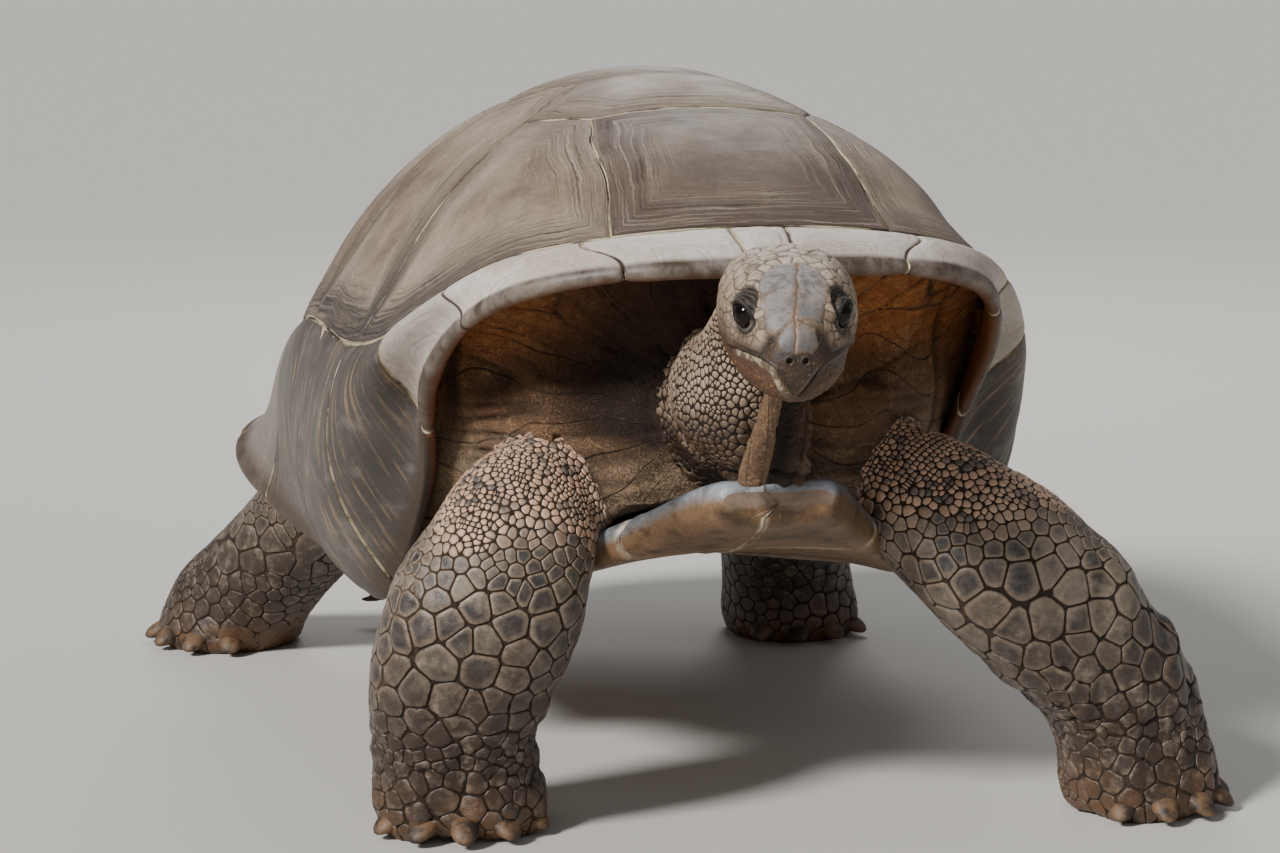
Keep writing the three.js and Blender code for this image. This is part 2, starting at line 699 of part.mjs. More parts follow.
// ---- assembly ----
addVertebrals();
addCostals();
addMarginals();
const trunk = trunkGeometry();
addMesh('trunk', trunk, skinFinish);
addPlastron();
const tools = [
  swollen(trunk),
  ...plastronPlates.map(([, from, to]) => plastronPlateGeometry(from, to, contactGap)),
];
legs.forEach((leg) => {
  addMesh(leg.name, cutBy(legGeometry(leg), tools), legFinish);
});
addHead();
addMesh('neck', neckGeometry(tools), skinFinish);
addMesh('tail', tailGeometry(tools), skinFinish);

// The origin is the middle of the underside of the box round the whole animal.
tortoise.updateMatrixWorld(true);
const box = new THREE.Box3().setFromObject(tortoise, true);
const middlePoint = box.getCenter(new THREE.Vector3());
tortoise.position.set(-middlePoint.x, -middlePoint.y, -box.min.z);

export default tortoise;
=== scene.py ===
import math

import bmesh
import bpy
import numpy as np
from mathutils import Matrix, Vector


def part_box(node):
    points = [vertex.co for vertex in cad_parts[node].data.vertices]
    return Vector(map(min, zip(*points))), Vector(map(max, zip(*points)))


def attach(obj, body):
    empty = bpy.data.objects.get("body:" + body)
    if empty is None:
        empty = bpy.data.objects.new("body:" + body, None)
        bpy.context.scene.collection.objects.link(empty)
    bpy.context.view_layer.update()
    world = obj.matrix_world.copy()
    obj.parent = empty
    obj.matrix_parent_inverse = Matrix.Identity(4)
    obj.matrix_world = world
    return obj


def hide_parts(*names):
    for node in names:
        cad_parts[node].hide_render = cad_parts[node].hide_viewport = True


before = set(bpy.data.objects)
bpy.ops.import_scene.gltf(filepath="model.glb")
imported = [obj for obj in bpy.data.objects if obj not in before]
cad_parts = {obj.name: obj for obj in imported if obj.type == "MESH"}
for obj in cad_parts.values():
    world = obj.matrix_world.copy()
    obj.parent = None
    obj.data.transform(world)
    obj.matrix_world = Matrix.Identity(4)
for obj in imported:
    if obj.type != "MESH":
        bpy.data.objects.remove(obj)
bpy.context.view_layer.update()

mm = 0.001


def planShift():
    # the body plan is in millimetres round the middle of the shell: nose to -Y, the animal's left
    # to +X, soles at Z = 0; the frame's own origin lies elsewhere, so two plates give the way
    bellyLow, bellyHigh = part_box("plastron_abdominal")
    throatLow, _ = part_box("plastron_gular")
    throatFront = -520.5
    return np.array([(bellyLow.x + bellyHigh.x) / 2 / mm, throatLow.y / mm - throatFront, 0.0])


shift = planShift()


def through(stations, values, at):
    # a smooth curve through values at stations, level at both ends (cubic Hermite, mean slopes)
    keys = np.asarray(stations, float)
    heights = np.asarray(values, float)
    slopes = np.zeros(len(keys))
    slopes[1:-1] = (heights[2:] - heights[:-2]) / (keys[2:] - keys[:-2])
    x = np.clip(at, keys[0], keys[-1])
    i = np.clip(np.searchsorted(keys, x, side="right") - 1, 0, len(keys) - 2)
    step = keys[i + 1] - keys[i]
    t = (x - keys[i]) / step
    rise = (1 + 2 * t) * (1 - t) ** 2 * heights[i] + t * t * (3 - 2 * t) * heights[i + 1]
    return rise + t * (1 - t) ** 2 * step * slopes[i] + t * t * (t - 1) * step * slopes[i + 1]


def smoothStep(low, high, x):
    # t * t * (3 - 2 t), where t runs from 0 to 1 between the two limits
    t = np.clip((x - low) / (high - low), 0, 1)
    return t * t * (3 - 2 * t)


def bell(x, height, middle, width):
    # height * exp(-((x - middle) / width)^2)
    return height * np.exp(-((x - middle) / width) ** 2)


def unit(vectors):
    # each vector divided by its length
    length = np.linalg.norm(vectors, axis=-1, keepdims=True)
    return vectors / np.maximum(length, 1e-9)


def valueNoise(points, size, seed):
    # noise from -1 to 1: values at the corners of cubes of this size, blended by t * t * (3 - 2 t);
    # a corner's value is the fraction of a large number times sin(corner . (a, b, c) + seed)
    q = np.asarray(points, float) / size
    cell = np.floor(q)
    f = q - cell
    f = f * f * (3 - 2 * f)
    total = np.zeros(q.shape[:-1])
    for dx in (0, 1):
        for dy in (0, 1):
            for dz in (0, 1):
                corner = cell + (dx, dy, dz)
                wave = np.sin(corner @ np.array([127.1, 311.7, 74.7]) + seed * 17.3) * 43758.5453
                weight = (np.where(dx, f[..., 0], 1 - f[..., 0]) * np.where(dy, f[..., 1], 1 - f[..., 1])
                          * np.where(dz, f[..., 2], 1 - f[..., 2]))
                total += weight * (wave - np.floor(wave))
    return total * 2 - 1


def turnSteps(count):
    # angles evenly round a circle
    return np.linspace(0, 2 * np.pi, count, endpoint=False)


def layeredNoise(points, size, seed, layers=3):
    # each layer has half the size and half the height of the one before
    return sum(valueNoise(points, size / 2 ** k, seed + k) / 2 ** k for k in range(layers))


def linearColour(hexText):
    # sRGB to linear: c / 12.92 for dark values, otherwise ((c + 0.055) / 1.055)^2.4
    channels = [int(hexText[i:i + 2], 16) / 255 for i in (1, 3, 5)]
    return [c / 12.92 if c <= 0.04045 else ((c + 0.055) / 1.055) ** 2.4 for c in channels] + [1.0]


def readVectors(items, key):
    # three numbers of every item, one row each
    numbers = np.zeros(len(items) * 3)
    items.foreach_get(key, numbers)
    return numbers.reshape(-1, 3)


def writeValues(mesh, values):
    # smooth faces, and numbers per point that the materials read by name
    mesh.polygons.foreach_set("use_smooth", np.ones(len(mesh.polygons), bool))
    for key, numbers in values.items():
        layer = mesh.attributes.new(key, "FLOAT", "POINT")
        layer.data.foreach_set("value", np.asarray(numbers, np.float32).ravel())


def placePiece(name, mesh):
    # every piece rides on the one body
    piece = bpy.data.objects.new(name, mesh)
    bpy.context.scene.collection.objects.link(piece)
    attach(piece, "root")
    return piece


def makePiece(name, points, quads, triangles, material, values=None, bakeMap=None):
    # points in plan millimetres, faces as index arrays; values are numbers per point
    mesh = bpy.data.meshes.new(name)
    place = (np.asarray(points, float).reshape(-1, 3) + shift) * mm
    quads = np.asarray(quads, int).reshape(-1, 4)
    triangles = np.asarray(triangles, int).reshape(-1, 3)
    mesh.vertices.add(len(place))
    mesh.vertices.foreach_set("co", place.ravel())
    corners = np.concatenate([quads.ravel(), triangles.ravel()])
    sizes = np.concatenate([np.full(len(quads), 4), np.full(len(triangles), 3)])
    mesh.loops.add(len(corners))
    mesh.loops.foreach_set("vertex_index", corners)
    mesh.polygons.add(len(sizes))
    mesh.polygons.foreach_set("loop_start", np.concatenate([[0], np.cumsum(sizes)[:-1]]))
    mesh.update(calc_edges=True)
    mesh.validate()
    writeValues(mesh, values or {})
    if bakeMap is not None:
        layer = mesh.uv_layers.new(name="OFBake")
        index = np.zeros(len(mesh.loops), int)
        mesh.loops.foreach_get("vertex_index", index)
        layer.data.foreach_set("uv", np.asarray(bakeMap, np.float32).reshape(-1, 2)[index].ravel())
    mesh.materials.append(material)
    return placePiece(name, mesh)


def gridQuads(rows, columns, wrapColumns=False, start=0):
    # faces of a grid stored row by row, with its last column joined to the first if asked
    r = np.arange(rows - 1)[:, None] * columns
    c = np.arange(columns if wrapColumns else columns - 1)[None, :]
    nextColumn = (c + 1) % columns
    quads = np.stack([r + c, r + nextColumn, r + columns + nextColumn, r + columns + c], -1)
    return quads.reshape(-1, 4) + start


def fan(centre, ring):
    # triangles from one middle point to each side of a closed ring
    ring = np.asarray(ring)
    return np.stack([np.full(len(ring), centre), ring, np.roll(ring, -1)], -1)


def addNode(tree, kind, inputs, output, **settings):
    # a node with its settings and its inputs set or linked; gives back the named output
    node = tree.nodes.new("ShaderNode" + kind)
    for key, value in settings.items():
        setattr(node, key, value)
    for socket, value in inputs.items():
        if isinstance(value, bpy.types.NodeSocket):
            tree.links.new(value, node.inputs[socket])
        elif isinstance(value, str):
            node.inputs[socket].default_value = linearColour(value)
        else:
            node.inputs[socket].default_value = value
    return node.outputs[output]


def paintOver(tree, colour, coatsOfPaint):
    # each coat of paint is a mask and a colour over what lies under it; a mask is one factor or
    # a list of factors for product
    for mask, over in coatsOfPaint:
        mask = product(tree, *(mask if isinstance(mask, list) else [mask]))
        colour = addNode(tree, "Mix", {"Factor": mask, "A": colour, "B": over}, "Result", data_type="RGBA")
    return colour


def newMaterial(name, roughness, specular=0.5, **shader):
    # a material with its node tree and its surface node
    material = bpy.data.materials.new(name)
    material.use_nodes = True
    tree = material.node_tree
    surface = tree.nodes["Principled BSDF"]
    surface.inputs["Roughness"].default_value = roughness
    surface.inputs["Specular IOR Level"].default_value = specular
    for socket, value in shader.items():
        surface.inputs[socket].default_value = value
    return material, tree, surface


shell = dict(
    apex=(0.0, -63.0, 682.0),
    seamHalfWidth=335.0, seamFront=493.0, seamRear=480.0, seamPower=2.9,
    rimFront=550.0, rimRear=550.0, rimPower=2.56,
    compass=[0, 24, 41, 49, 62, 80, 100, 118, 138, 158, 180],
    seamHeight=[569, 545, 478, 448, 434, 436, 430, 412, 390, 372, 362],
    rimHeight=[543, 517, 412, 300, 190, 168, 180, 225, 272, 280, 262],
    rimHalfWidth=[337, 335, 302, 271, 286, 294, 306, 376, 446, 420, 380],
    seamSlope=[18, 25, 45, 60, 70, 78, 74, 60, 48, 45, 45],
    rimSlope=[40, 50, 75, 110, 130, 140, 120, 70, 25, 25, 30],
    domeSweep=[38, 36, 38, 42, 46, 50, 54, 57, 60, 62, 64],
    flareDip=[3, 16, 20, 15, 9, 5, 3, 4, 6, 6, 4], flareReach=0.9, flareWidth=0.13, pull=0.42,
)


def compassDegrees(angle):
    # 0 at the head's end to 180 at the tail's, on either side
    return np.abs((np.degrees(angle) + 180) % 360 - 180)


def atCompass(key, angle):
    return through(shell["compass"], shell[key], compassDegrees(angle))


def planRing(angle, halfWidth, front, rear, power, height):
    # a superellipse: (sin/halfWidth)^power + (cos/length)^power = radius^-power
    length = np.where(np.cos(angle) > 0, front, rear)
    radius = ((np.abs(np.sin(angle)) / halfWidth) ** power + (np.abs(np.cos(angle)) / length) ** power)
    radius = radius ** (-1 / power)
    return np.stack([radius * np.sin(angle), -radius * np.cos(angle), height], -1)


def seamRing(angle):
    return planRing(angle, shell["seamHalfWidth"], shell["seamFront"], shell["seamRear"],
                    shell["seamPower"], atCompass("seamHeight", angle))


def rimRing(angle):
    return planRing(angle, atCompass("rimHalfWidth", angle), shell["rimFront"], shell["rimRear"],
                    shell["rimPower"], atCompass("rimHeight", angle))


def shellPoint(angle, reach):
    # reach 0 to 1 is an arc from the top of the dome to the seam, 1 to 2 a cubic curve that
    # leaves the seam and meets the free rim at the two slopes; dip(reach) = depth *
    # exp(-((reach - 0.9) / 0.13)^2) draws it in just above the seam, where the marginals flare
    angle, reach = np.broadcast_arrays(np.asarray(angle, float), np.asarray(reach, float))
    dip = bell(reach, atCompass("flareDip", angle), shell["flareReach"], shell["flareWidth"])
    inward = np.stack([-np.sin(angle), np.cos(angle), np.zeros_like(angle)], -1) * dip[..., None]
    seam = seamRing(angle)
    apex = np.array(shell["apex"])
    sweep = np.radians(atCompass("domeSweep", angle))
    part = np.clip(reach, 0, 1) * sweep
    out = (np.sin(part) / np.sin(sweep))[..., None]
    up = (np.cos(part) - np.cos(sweep)) / (1 - np.cos(sweep))
    dome = apex + (seam - apex) * out
    dome[..., 2] = seam[..., 2] + (apex[2] - seam[..., 2]) * up
    rim = rimRing(angle)
    along = seamRing(angle + 0.001) - seamRing(angle - 0.001)
    outward = unit(np.stack([-along[..., 1], along[..., 0]], -1))
    outward *= np.sign((outward * seam[..., :2]).sum(-1))[..., None]
    pull = shell["pull"] * np.linalg.norm(rim - seam, axis=-1)[..., None]

    def slopeVector(key):
        fall = np.radians(atCompass(key, angle))[..., None]
        return np.concatenate([outward * np.cos(fall), -np.sin(fall)], -1)

    first = seam + slopeVector("seamSlope") * pull
    second = rim - slopeVector("rimSlope") * pull
    w = np.clip(reach - 1, 0, 1)[..., None]
    strip = ((1 - w) ** 3 * seam + 3 * (1 - w) ** 2 * w * first + 3 * (1 - w) * w * w * second
             + w ** 3 * rim)
    return np.where(reach[..., None] <= 1, dome, strip) + inward


def shellNormal(angle, reach):
    # the cross product of a step down the shell and a step round it, on one side of the seam
    angle, reach = np.broadcast_arrays(np.asarray(angle, float), np.asarray(reach, float))
    onRim = reach > 1
    low = np.where(onRim, np.maximum(reach - 0.01, 1.0001), np.maximum(reach - 0.01, 0.0))
    high = np.where(onRim, np.minimum(reach + 0.01, 2), np.minimum(reach + 0.01, 1))
    down = shellPoint(angle, high) - shellPoint(angle, low)
    level = np.maximum(reach, 0.02)
    around = shellPoint(angle + 0.01, level) - shellPoint(angle - 0.01, level)
    return unit(np.cross(down, around))


# ring pairs are height and spacing; groove and shoulder are height, place and width
hornRelief = dict(
    warp=4.0, warpSize=45, rings=((0.30, 7.3), (0.22, 4.1), (0.34, 15.0)), patchSize=60,
    groove=(1.1, 0, 1.3), shoulder=(0.45, 0, 6.0), dents=(1.0, 80), grain=(0.12, 9), calmEdge=25,
)


def scuteRelief(edge, growth, place, crown, inner, band):
    # height in mm: crown * (1 - inner^2), less a narrow groove and a broad one at the suture, plus
    # growth rings, height * sin(2 pi growth / spacing), that show in a band of this width along
    # it, and the soft dents of an old shell
    warp = layeredNoise(place, hornRelief["warpSize"], 3) * hornRelief["warp"]
    rings = sum(size * np.sin((growth + warp) * 2 * np.pi / length)
                for size, length in hornRelief["rings"])
    patchy = 0.55 + 0.45 * valueNoise(place, hornRelief["patchSize"], 5)
    shown = smoothStep(band * 1.25, band * 0.55, edge) * patchy
    groove = bell(edge, *hornRelief["groove"]) + bell(edge, *hornRelief["shoulder"])
    (dent, dentSize), (grain, grainSize) = hornRelief["dents"], hornRelief["grain"]
    dents = dent * layeredNoise(place, dentSize, 11, 2) + grain * layeredNoise(place, grainSize, 13, 2)
    calm = smoothStep(0, hornRelief["calmEdge"], edge)
    return crown * (1 - inner ** 2) - groove + rings * shown + dents * calm


scuteLook = dict(
    around=132, rings=42, crowd=1.35, suture=0.75, gapShare=1.15, thickness=2.2, crown=4.0, band=62.0,
    wanderSize=0.16, wanderBy=0.008, middle=(0.0, 0.0, 330.0),
)


def sideSteps(corners, count):
    # points along the straight sides from corner to corner, count * side / all sides on each
    corners = np.asarray(corners, float)
    sides = np.linalg.norm(corners[1:] - corners[:-1], axis=1)
    steps = np.maximum(np.round(count * sides / sides.sum()).astype(int), 1)
    return np.concatenate([start + (end - start) * np.linspace(0, 1, n, endpoint=False)[:, None]
                           for start, end, n in zip(corners[:-1], corners[1:], steps)])


def wander(disc):
    # sutures aren't ruled lines: a small shift that two neighbours share
    flat = np.concatenate([disc, np.zeros((len(disc), 1))], -1)
    calm = 1 - smoothStep(0.9, 0.98, np.linalg.norm(disc, axis=1))
    bend = np.stack([layeredNoise(flat, scuteLook["wanderSize"], seed) for seed in (21, 31)], -1)
    return disc + bend * scuteLook["wanderBy"] * calm[:, None]


def domeScute(name, outline, material, shade=0.0):
    # a polar grid from the middle of the scute to its suture, t = 1 - (1 - q)^crowd, laid on
    # the shell
    edgeLine = wander(outline)
    centre = edgeLine.mean(0)
    edgePoint = shellPoint(np.arctan2(edgeLine[:, 0], -edgeLine[:, 1]), np.linalg.norm(edgeLine, axis=1))
    centrePoint = shellPoint(np.arctan2(centre[0], -centre[1]), np.linalg.norm(centre))
    radius = np.linalg.norm(edgePoint - centrePoint, axis=1)
    q = np.linspace(0, 1, scuteLook["rings"] + 1)
    gap = scuteLook["gapShare"] * scuteLook["suture"]
    t = (1 - (1 - q) ** scuteLook["crowd"])[:, None] * (1 - gap / radius)[None, :]
    disc = centre + (edgeLine - centre)[None] * t[..., None]
    angle = np.arctan2(disc[..., 0], -disc[..., 1])
    reach = np.minimum(np.linalg.norm(disc, axis=-1), 1)
    base = shellPoint(angle, reach)
    edge = (1 - t) * radius - scuteLook["suture"]
    growth = (1 - t) * radius.mean()
    height = scuteRelief(edge, growth, base, scuteLook["crown"], t, scuteLook["band"])
    surface = base + shellNormal(angle, reach) * height[..., None]
    points = np.concatenate([surface[:1, 0], surface[1:].reshape(-1, 3)])
    count = len(edgeLine)
    quads = gridQuads(scuteLook["rings"], count, wrapColumns=True, start=1)
    values = {key: np.concatenate([grid[:1, 0], grid[1:].ravel()])
              for key, grid in dict(edge=edge, growth=growth, shade=shade + 0 * t).items()}
    middle = fan(0, np.arange(count) + 1)[:, ::-1]
    piece = makePiece(name, points, quads, middle, material, values)
    lookFrom(piece, np.array(scuteLook["middle"]))
    thicken(piece, scuteLook["thickness"])
    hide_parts(name)
    return piece


def lookFrom(piece, inside):
    # an open sheet's faces are turned so that they look away from a point inside
    mesh = piece.data
    away = readVectors(mesh.polygons, "center") - (inside + shift) * mm
    if (away * readVectors(mesh.polygons, "normal")).sum() < 0:
        mesh.flip_normals()


def thicken(piece, thickness):
    # a sheet gets this thickness inwards
    solid = piece.modifiers.new("thickness", "SOLIDIFY")
    solid.thickness = thickness * mm
    solid.offset = -1
    solid.use_even_offset = False


# the dome's scutes are laid out on a flat disc: 0 at the top of the shell, 1 at the seam
def onDisc(degrees, reach):
    angle = np.radians(degrees)
    return [reach * math.sin(angle), -reach * math.cos(angle)]


def arcSteps(start, end, count):
    angle = np.radians(np.linspace(start, end, count, endpoint=False))
    return np.stack([np.sin(angle), -np.cos(angle)], -1)


columns = dict(
    frontAngle=15.0, rearAngle=161.0,
    seams=[-0.44, -0.06, 0.32, 0.63], halfWidths=[0.2, 0.21, 0.19, 0.17],
    corners=[(0.32, -0.25), (0.33, 0.12), (0.29, 0.46)], costalEnds=[57.0, 92.0, 123.0],
    shades=(1.3, 0.45),
)


def mirrored(corners):
    return [(-a, b) for a, b in corners]


def buildVertebrals(material):
    # five scutes down the middle, the two end ones bounded by an arc of the seam
    around = scuteLook["around"]
    seam = list(zip(columns["halfWidths"], columns["seams"]))
    shades = columns["shades"]
    front = columns["frontAngle"]
    rear = columns["rearAngle"]
    first = np.concatenate([
        arcSteps(-front, front, around // 4),
        sideSteps([onDisc(front, 1), seam[0], mirrored(seam[:1])[0], onDisc(-front, 1)], around * 3 // 4)])
    domeScute("vertebral_1", first, material, shades[0])
    for i in range(3):
        corner = columns["corners"][i]
        ring = [mirrored(seam[i:i + 1])[0], seam[i], corner, seam[i + 1], mirrored(seam[i + 1:i + 2])[0],
                mirrored([corner])[0]]
        domeScute(f"vertebral_{i + 2}", sideSteps([*ring, ring[0]], around), material, shades[1])
    last = np.concatenate([
        arcSteps(rear, 360 - rear, around // 4),
        sideSteps([onDisc(-rear, 1), mirrored(seam[3:])[0], seam[3], onDisc(rear, 1)], around * 3 // 4)])
    domeScute("vertebral_5", last, material)


def buildCostals(material):
    # four scutes on each side, from the vertebrals' corners down to the seam
    starts = [columns["frontAngle"], *columns["costalEnds"]]
    ends = [*columns["costalEnds"], columns["rearAngle"]]
    around = scuteLook["around"]
    for i in range(4):
        inner = [columns["corners"][i]] if i < 3 else []
        inner.append((columns["halfWidths"][i], columns["seams"][i]))
        inner += [columns["corners"][i - 1]] if i > 0 else []
        sides = sideSteps([onDisc(ends[i], 1), *inner, onDisc(starts[i], 1)], around * 7 // 10)
        outline = np.concatenate([arcSteps(starts[i], ends[i], around * 3 // 10), sides])
        domeScute(f"costal_left_{i + 1}", outline, material)
        domeScute(f"costal_right_{i + 1}", outline * (-1, 1), material)


marginals = dict(
    ends=[2.9, 18, 34, 45, 60, 79, 99, 118, 134, 147, 158, 169],
    lip=6.5, under=44.0, across=42, down=76, suture=0.7, thickness=2.2, crown=2.0, band=26.0,
    crowd=0.9, reach=1.98, seamGap=0.0035,
    toneAt=[0, 26, 39, 52, 110, 140, 180], tone=[0.0, 0.0, 0.25, 0.95, 0.9, 0.55, 0.45],
    rimEnds=[2.2, 13.5, 31.5, 44.5, 60.5, 79.5, 99, 118, 134, 147, 158, 169],
)


def marginalSurface(angle, w):
    # w 0 to 1 falls from the seam to the rim, 1 to 1.25 turns round the lip as a half circle,
    # 1.25 to 2 goes back under the rim, one lip's thickness below the top
    lip = marginals["lip"]
    top = np.minimum(w, 1)
    rim = shellPoint(angle, np.full_like(w, 2.0))
    inward = -shellNormal(angle, np.full_like(w, 2.0))
    ahead = unit(rim - shellPoint(angle, np.full_like(w, 1.97)))
    turn = (np.clip((w - 1) / 0.25, 0, 1) * np.pi)[..., None]
    roundLip = rim + inward * lip * (1 - np.cos(turn)) + ahead * lip * np.sin(turn)
    stripLength = np.linalg.norm(rimRing(angle) - seamRing(angle), axis=-1)
    back = np.clip(w - 1.25, 0, 0.75) / 0.75 * np.minimum(marginals["under"] / stripLength, 0.7)
    underReach = 2 - back
    underNormal = -shellNormal(angle, underReach)
    under = shellPoint(angle, underReach) + underNormal * 2 * lip
    place = np.where(w[..., None] <= 1, shellPoint(angle, 1.0001 + top * 0.9999), roundLip)
    place = np.where(w[..., None] > 1.25, under, place)
    normal = np.where(w[..., None] <= 1, shellNormal(angle, 1.0001 + top * 0.9999),
                      -inward * np.cos(turn) + ahead * np.sin(turn))
    normal = np.where(w[..., None] > 1.25, underNormal, normal)
    return place, normal


def rimEnd(degrees):
    # where the suture that leaves the seam at this compass angle reaches the rim
    turned = degrees if degrees < 180 else 360 - degrees
    found = np.interp(abs(turned), marginals["ends"], marginals["rimEnds"]) * math.copysign(1, turned)
    return found if degrees < 180 else 360 - found


def softEdge(one, two):
    # -8 ln(exp(-one / 8) + exp(-two / 8)) + 5: the smaller distance, with its corner rounded
    return -8 * np.log(np.exp(-one / 8) + np.exp(-two / 8)) + 5


def marginalScute(name, start, end, material):
    # a sheet over the strip between two compass angles, wrapped round the lip
    u = np.linspace(0, 1, marginals["across"])[:, None]
    w = np.linspace(0, 1, marginals["down"])[None, :] ** marginals["crowd"] * marginals["reach"]
    u, w = np.broadcast_arrays(u, w)
    width = np.linalg.norm(rimRing(np.radians(end)) - rimRing(np.radians(start)))
    gap = marginals["suture"] / width
    slant = smoothStep(0, 1, w)
    low = start + (rimEnd(start) - start) * slant
    high = end + (rimEnd(end) - end) * slant
    angle = np.radians(low + (high - low) * (gap + u * (1 - 2 * gap)))
    place, normal = marginalSurface(angle, w + (1 - np.minimum(w, 1)) * marginals["seamGap"])
    step = np.linalg.norm(np.diff(place, axis=1), axis=-1)
    down = np.concatenate([np.zeros((len(u), 1)), np.cumsum(step, axis=1)], 1)
    side = np.minimum(u, 1 - u) * width
    edge = np.minimum(side, down)
    growth = softEdge(side, down)
    inner = 1 - np.clip(growth / (0.45 * width), 0, 1)
    height = scuteRelief(edge, growth, place, marginals["crown"], np.clip(inner, 0, 1), marginals["band"])
    surface = place + normal * height[..., None]
    at = compassDegrees(np.radians((start + end) / 2))
    tone = np.interp(at, marginals["toneAt"], marginals["tone"]) + 0 * w
    values = dict(edge=edge, growth=growth, down=down, cross=u * width + start * 7, lip=w, tone=tone)
    piece = makePiece(name, surface, gridQuads(*u.shape), [], material, values)
    lookOut(piece, normal)
    thicken(piece, marginals["thickness"])
    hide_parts(name)
    return piece


def lookOut(piece, normals):
    # turns the sheet if most of its faces look against the surface's own normals
    mesh = piece.data
    wanted = normals[:-1, :-1].reshape(-1, 3)
    if (readVectors(mesh.polygons, "normal") * wanted).sum() < 0:
        mesh.flip_normals()


def buildMarginals(material):
    ends = marginals["ends"]
    marginalScute("nuchal", -ends[0], ends[0], material)
    for i in range(1, len(ends)):
        marginalScute(f"marginal_left_{i}", ends[i - 1], ends[i], material)
        marginalScute(f"marginal_right_{i}", -ends[i], -ends[i - 1], material)
    marginalScute("supracaudal", ends[-1], 360 - ends[-1], material)


# the bony shell that shows in the sutures
boneShell = dict(outer=1.5, inner=10.4, angles=180, outerRings=60, innerRings=24)


def buildBoneShell(material):
    # two polar shells under the scutes, each its own depth below the surface, joined at the rim
    angle = turnSteps(boneShell["angles"])[None, :]
    outerReach = np.linspace(0, 2, boneShell["outerRings"] + 1)[1:, None]
    innerReach = np.linspace(2, 0, boneShell["innerRings"] + 1)[:-1, None]
    outer = shellPoint(angle, outerReach) - shellNormal(angle, outerReach) * boneShell["outer"]
    inner = shellPoint(angle, innerReach) - shellNormal(angle, innerReach) * boneShell["inner"]
    rings = np.concatenate([outer, inner])
    count = boneShell["angles"]
    apex = np.array(shell["apex"])
    points = np.concatenate([rings.reshape(-1, 3), [apex - (0, 0, boneShell["outer"])],
                             [apex - (0, 0, boneShell["inner"])]])
    quads = gridQuads(len(rings), count, wrapColumns=True)
    total = len(rings) * count
    caps = np.concatenate([fan(total, np.arange(count))[:, ::-1],
                           fan(total + 1, np.arange(count) + total - count)])
    piece = makePiece("carapace_bone", points, quads[:, ::-1], caps[:, ::-1], material)
    recalculate(piece)
    return piece


def recalculate(piece):
    # a closed mesh gets its faces turned outwards
    work = bmesh.new()
    work.from_mesh(piece.data)
    bmesh.ops.recalc_face_normals(work, faces=work.faces)
    work.to_mesh(piece.data)
    work.free()


plastron = dict(
    length=[-522, -490, -430, -350, -240, -185, -125, 40, 195, 235, 320, 400, 428],
    halfWidth=[52, 78, 118, 170, 212, 222, 276, 287, 282, 212, 182, 120, 70],
    middle=[303, 289, 268, 250, 229, 221, 212, 194, 186, 188, 198, 212, 218],
    edge=[307, 294, 262, 226, 198, 188, 178, 168, 172, 180, 196, 216, 222],
    thickness=[46, 48, 40, 32, 28, 26, 24, 24, 24, 24, 24, 22, 20],
    lean=[13, 13, 10, 5, 0, 0, 0, 0, 0, 0, 0, 0, 0],
    plates=[("plastron_gular", -522, -425), ("plastron_humeral", -425, -235),
            ("plastron_pectoral", -235, -125), ("plastron_abdominal", -125, 195),
            ("plastron_femoral", 195, 330), ("plastron_anal", 330, 428)],
    flat=70, corner=12, suture=1.2, bevel=5, noseBevel=17.0, rowLength=3.2, draw=(0.5, 0.45),
    noseWaves=((1.5, 304, 5), (-2.0, 295, 4)), noseGrit=0.8, noseJut=8, noseBlock=(4, 78, 60),
)


def plastronLoop(y, shrink):
    # the outline of one slice: underside, round edge, top, round edge
    half = np.interp(y, plastron["length"], plastron["halfWidth"])[:, None]
    thick = through(plastron["length"], plastron["thickness"], y)[:, None]
    middle = through(plastron["length"], plastron["middle"], y)[:, None]
    edge = through(plastron["length"], plastron["edge"], y)[:, None]
    across = np.linspace(-1, 1, plastron["flat"])
    turn = np.linspace(0, np.pi, plastron["corner"] + 2)[1:-1]
    share = np.concatenate([across, np.ones(len(turn)), across[::-1], -np.ones(len(turn))])[None]
    out = np.concatenate([np.zeros(len(across)), np.sin(turn), np.zeros(len(across)), -np.sin(turn)])[None]
    up = np.concatenate([np.zeros(len(across)), (1 - np.cos(turn)) / 2, np.ones(len(across)),
                         (1 + np.cos(turn)) / 2])[None]
    radius = thick / 2
    x = (half - radius) * share + radius * out
    level = middle + (edge - middle) * np.clip(np.abs(x) / half, 0, 1) ** 2
    z = level + thick * (0.5 + (up - 0.5) * (1 - shrink[:, None]))
    x = x * (1 - 0.03 * shrink[:, None]) + through(plastron["length"], plastron["lean"], y)[:, None]
    return np.stack([x, np.broadcast_to(y[:, None], x.shape), z], -1), up


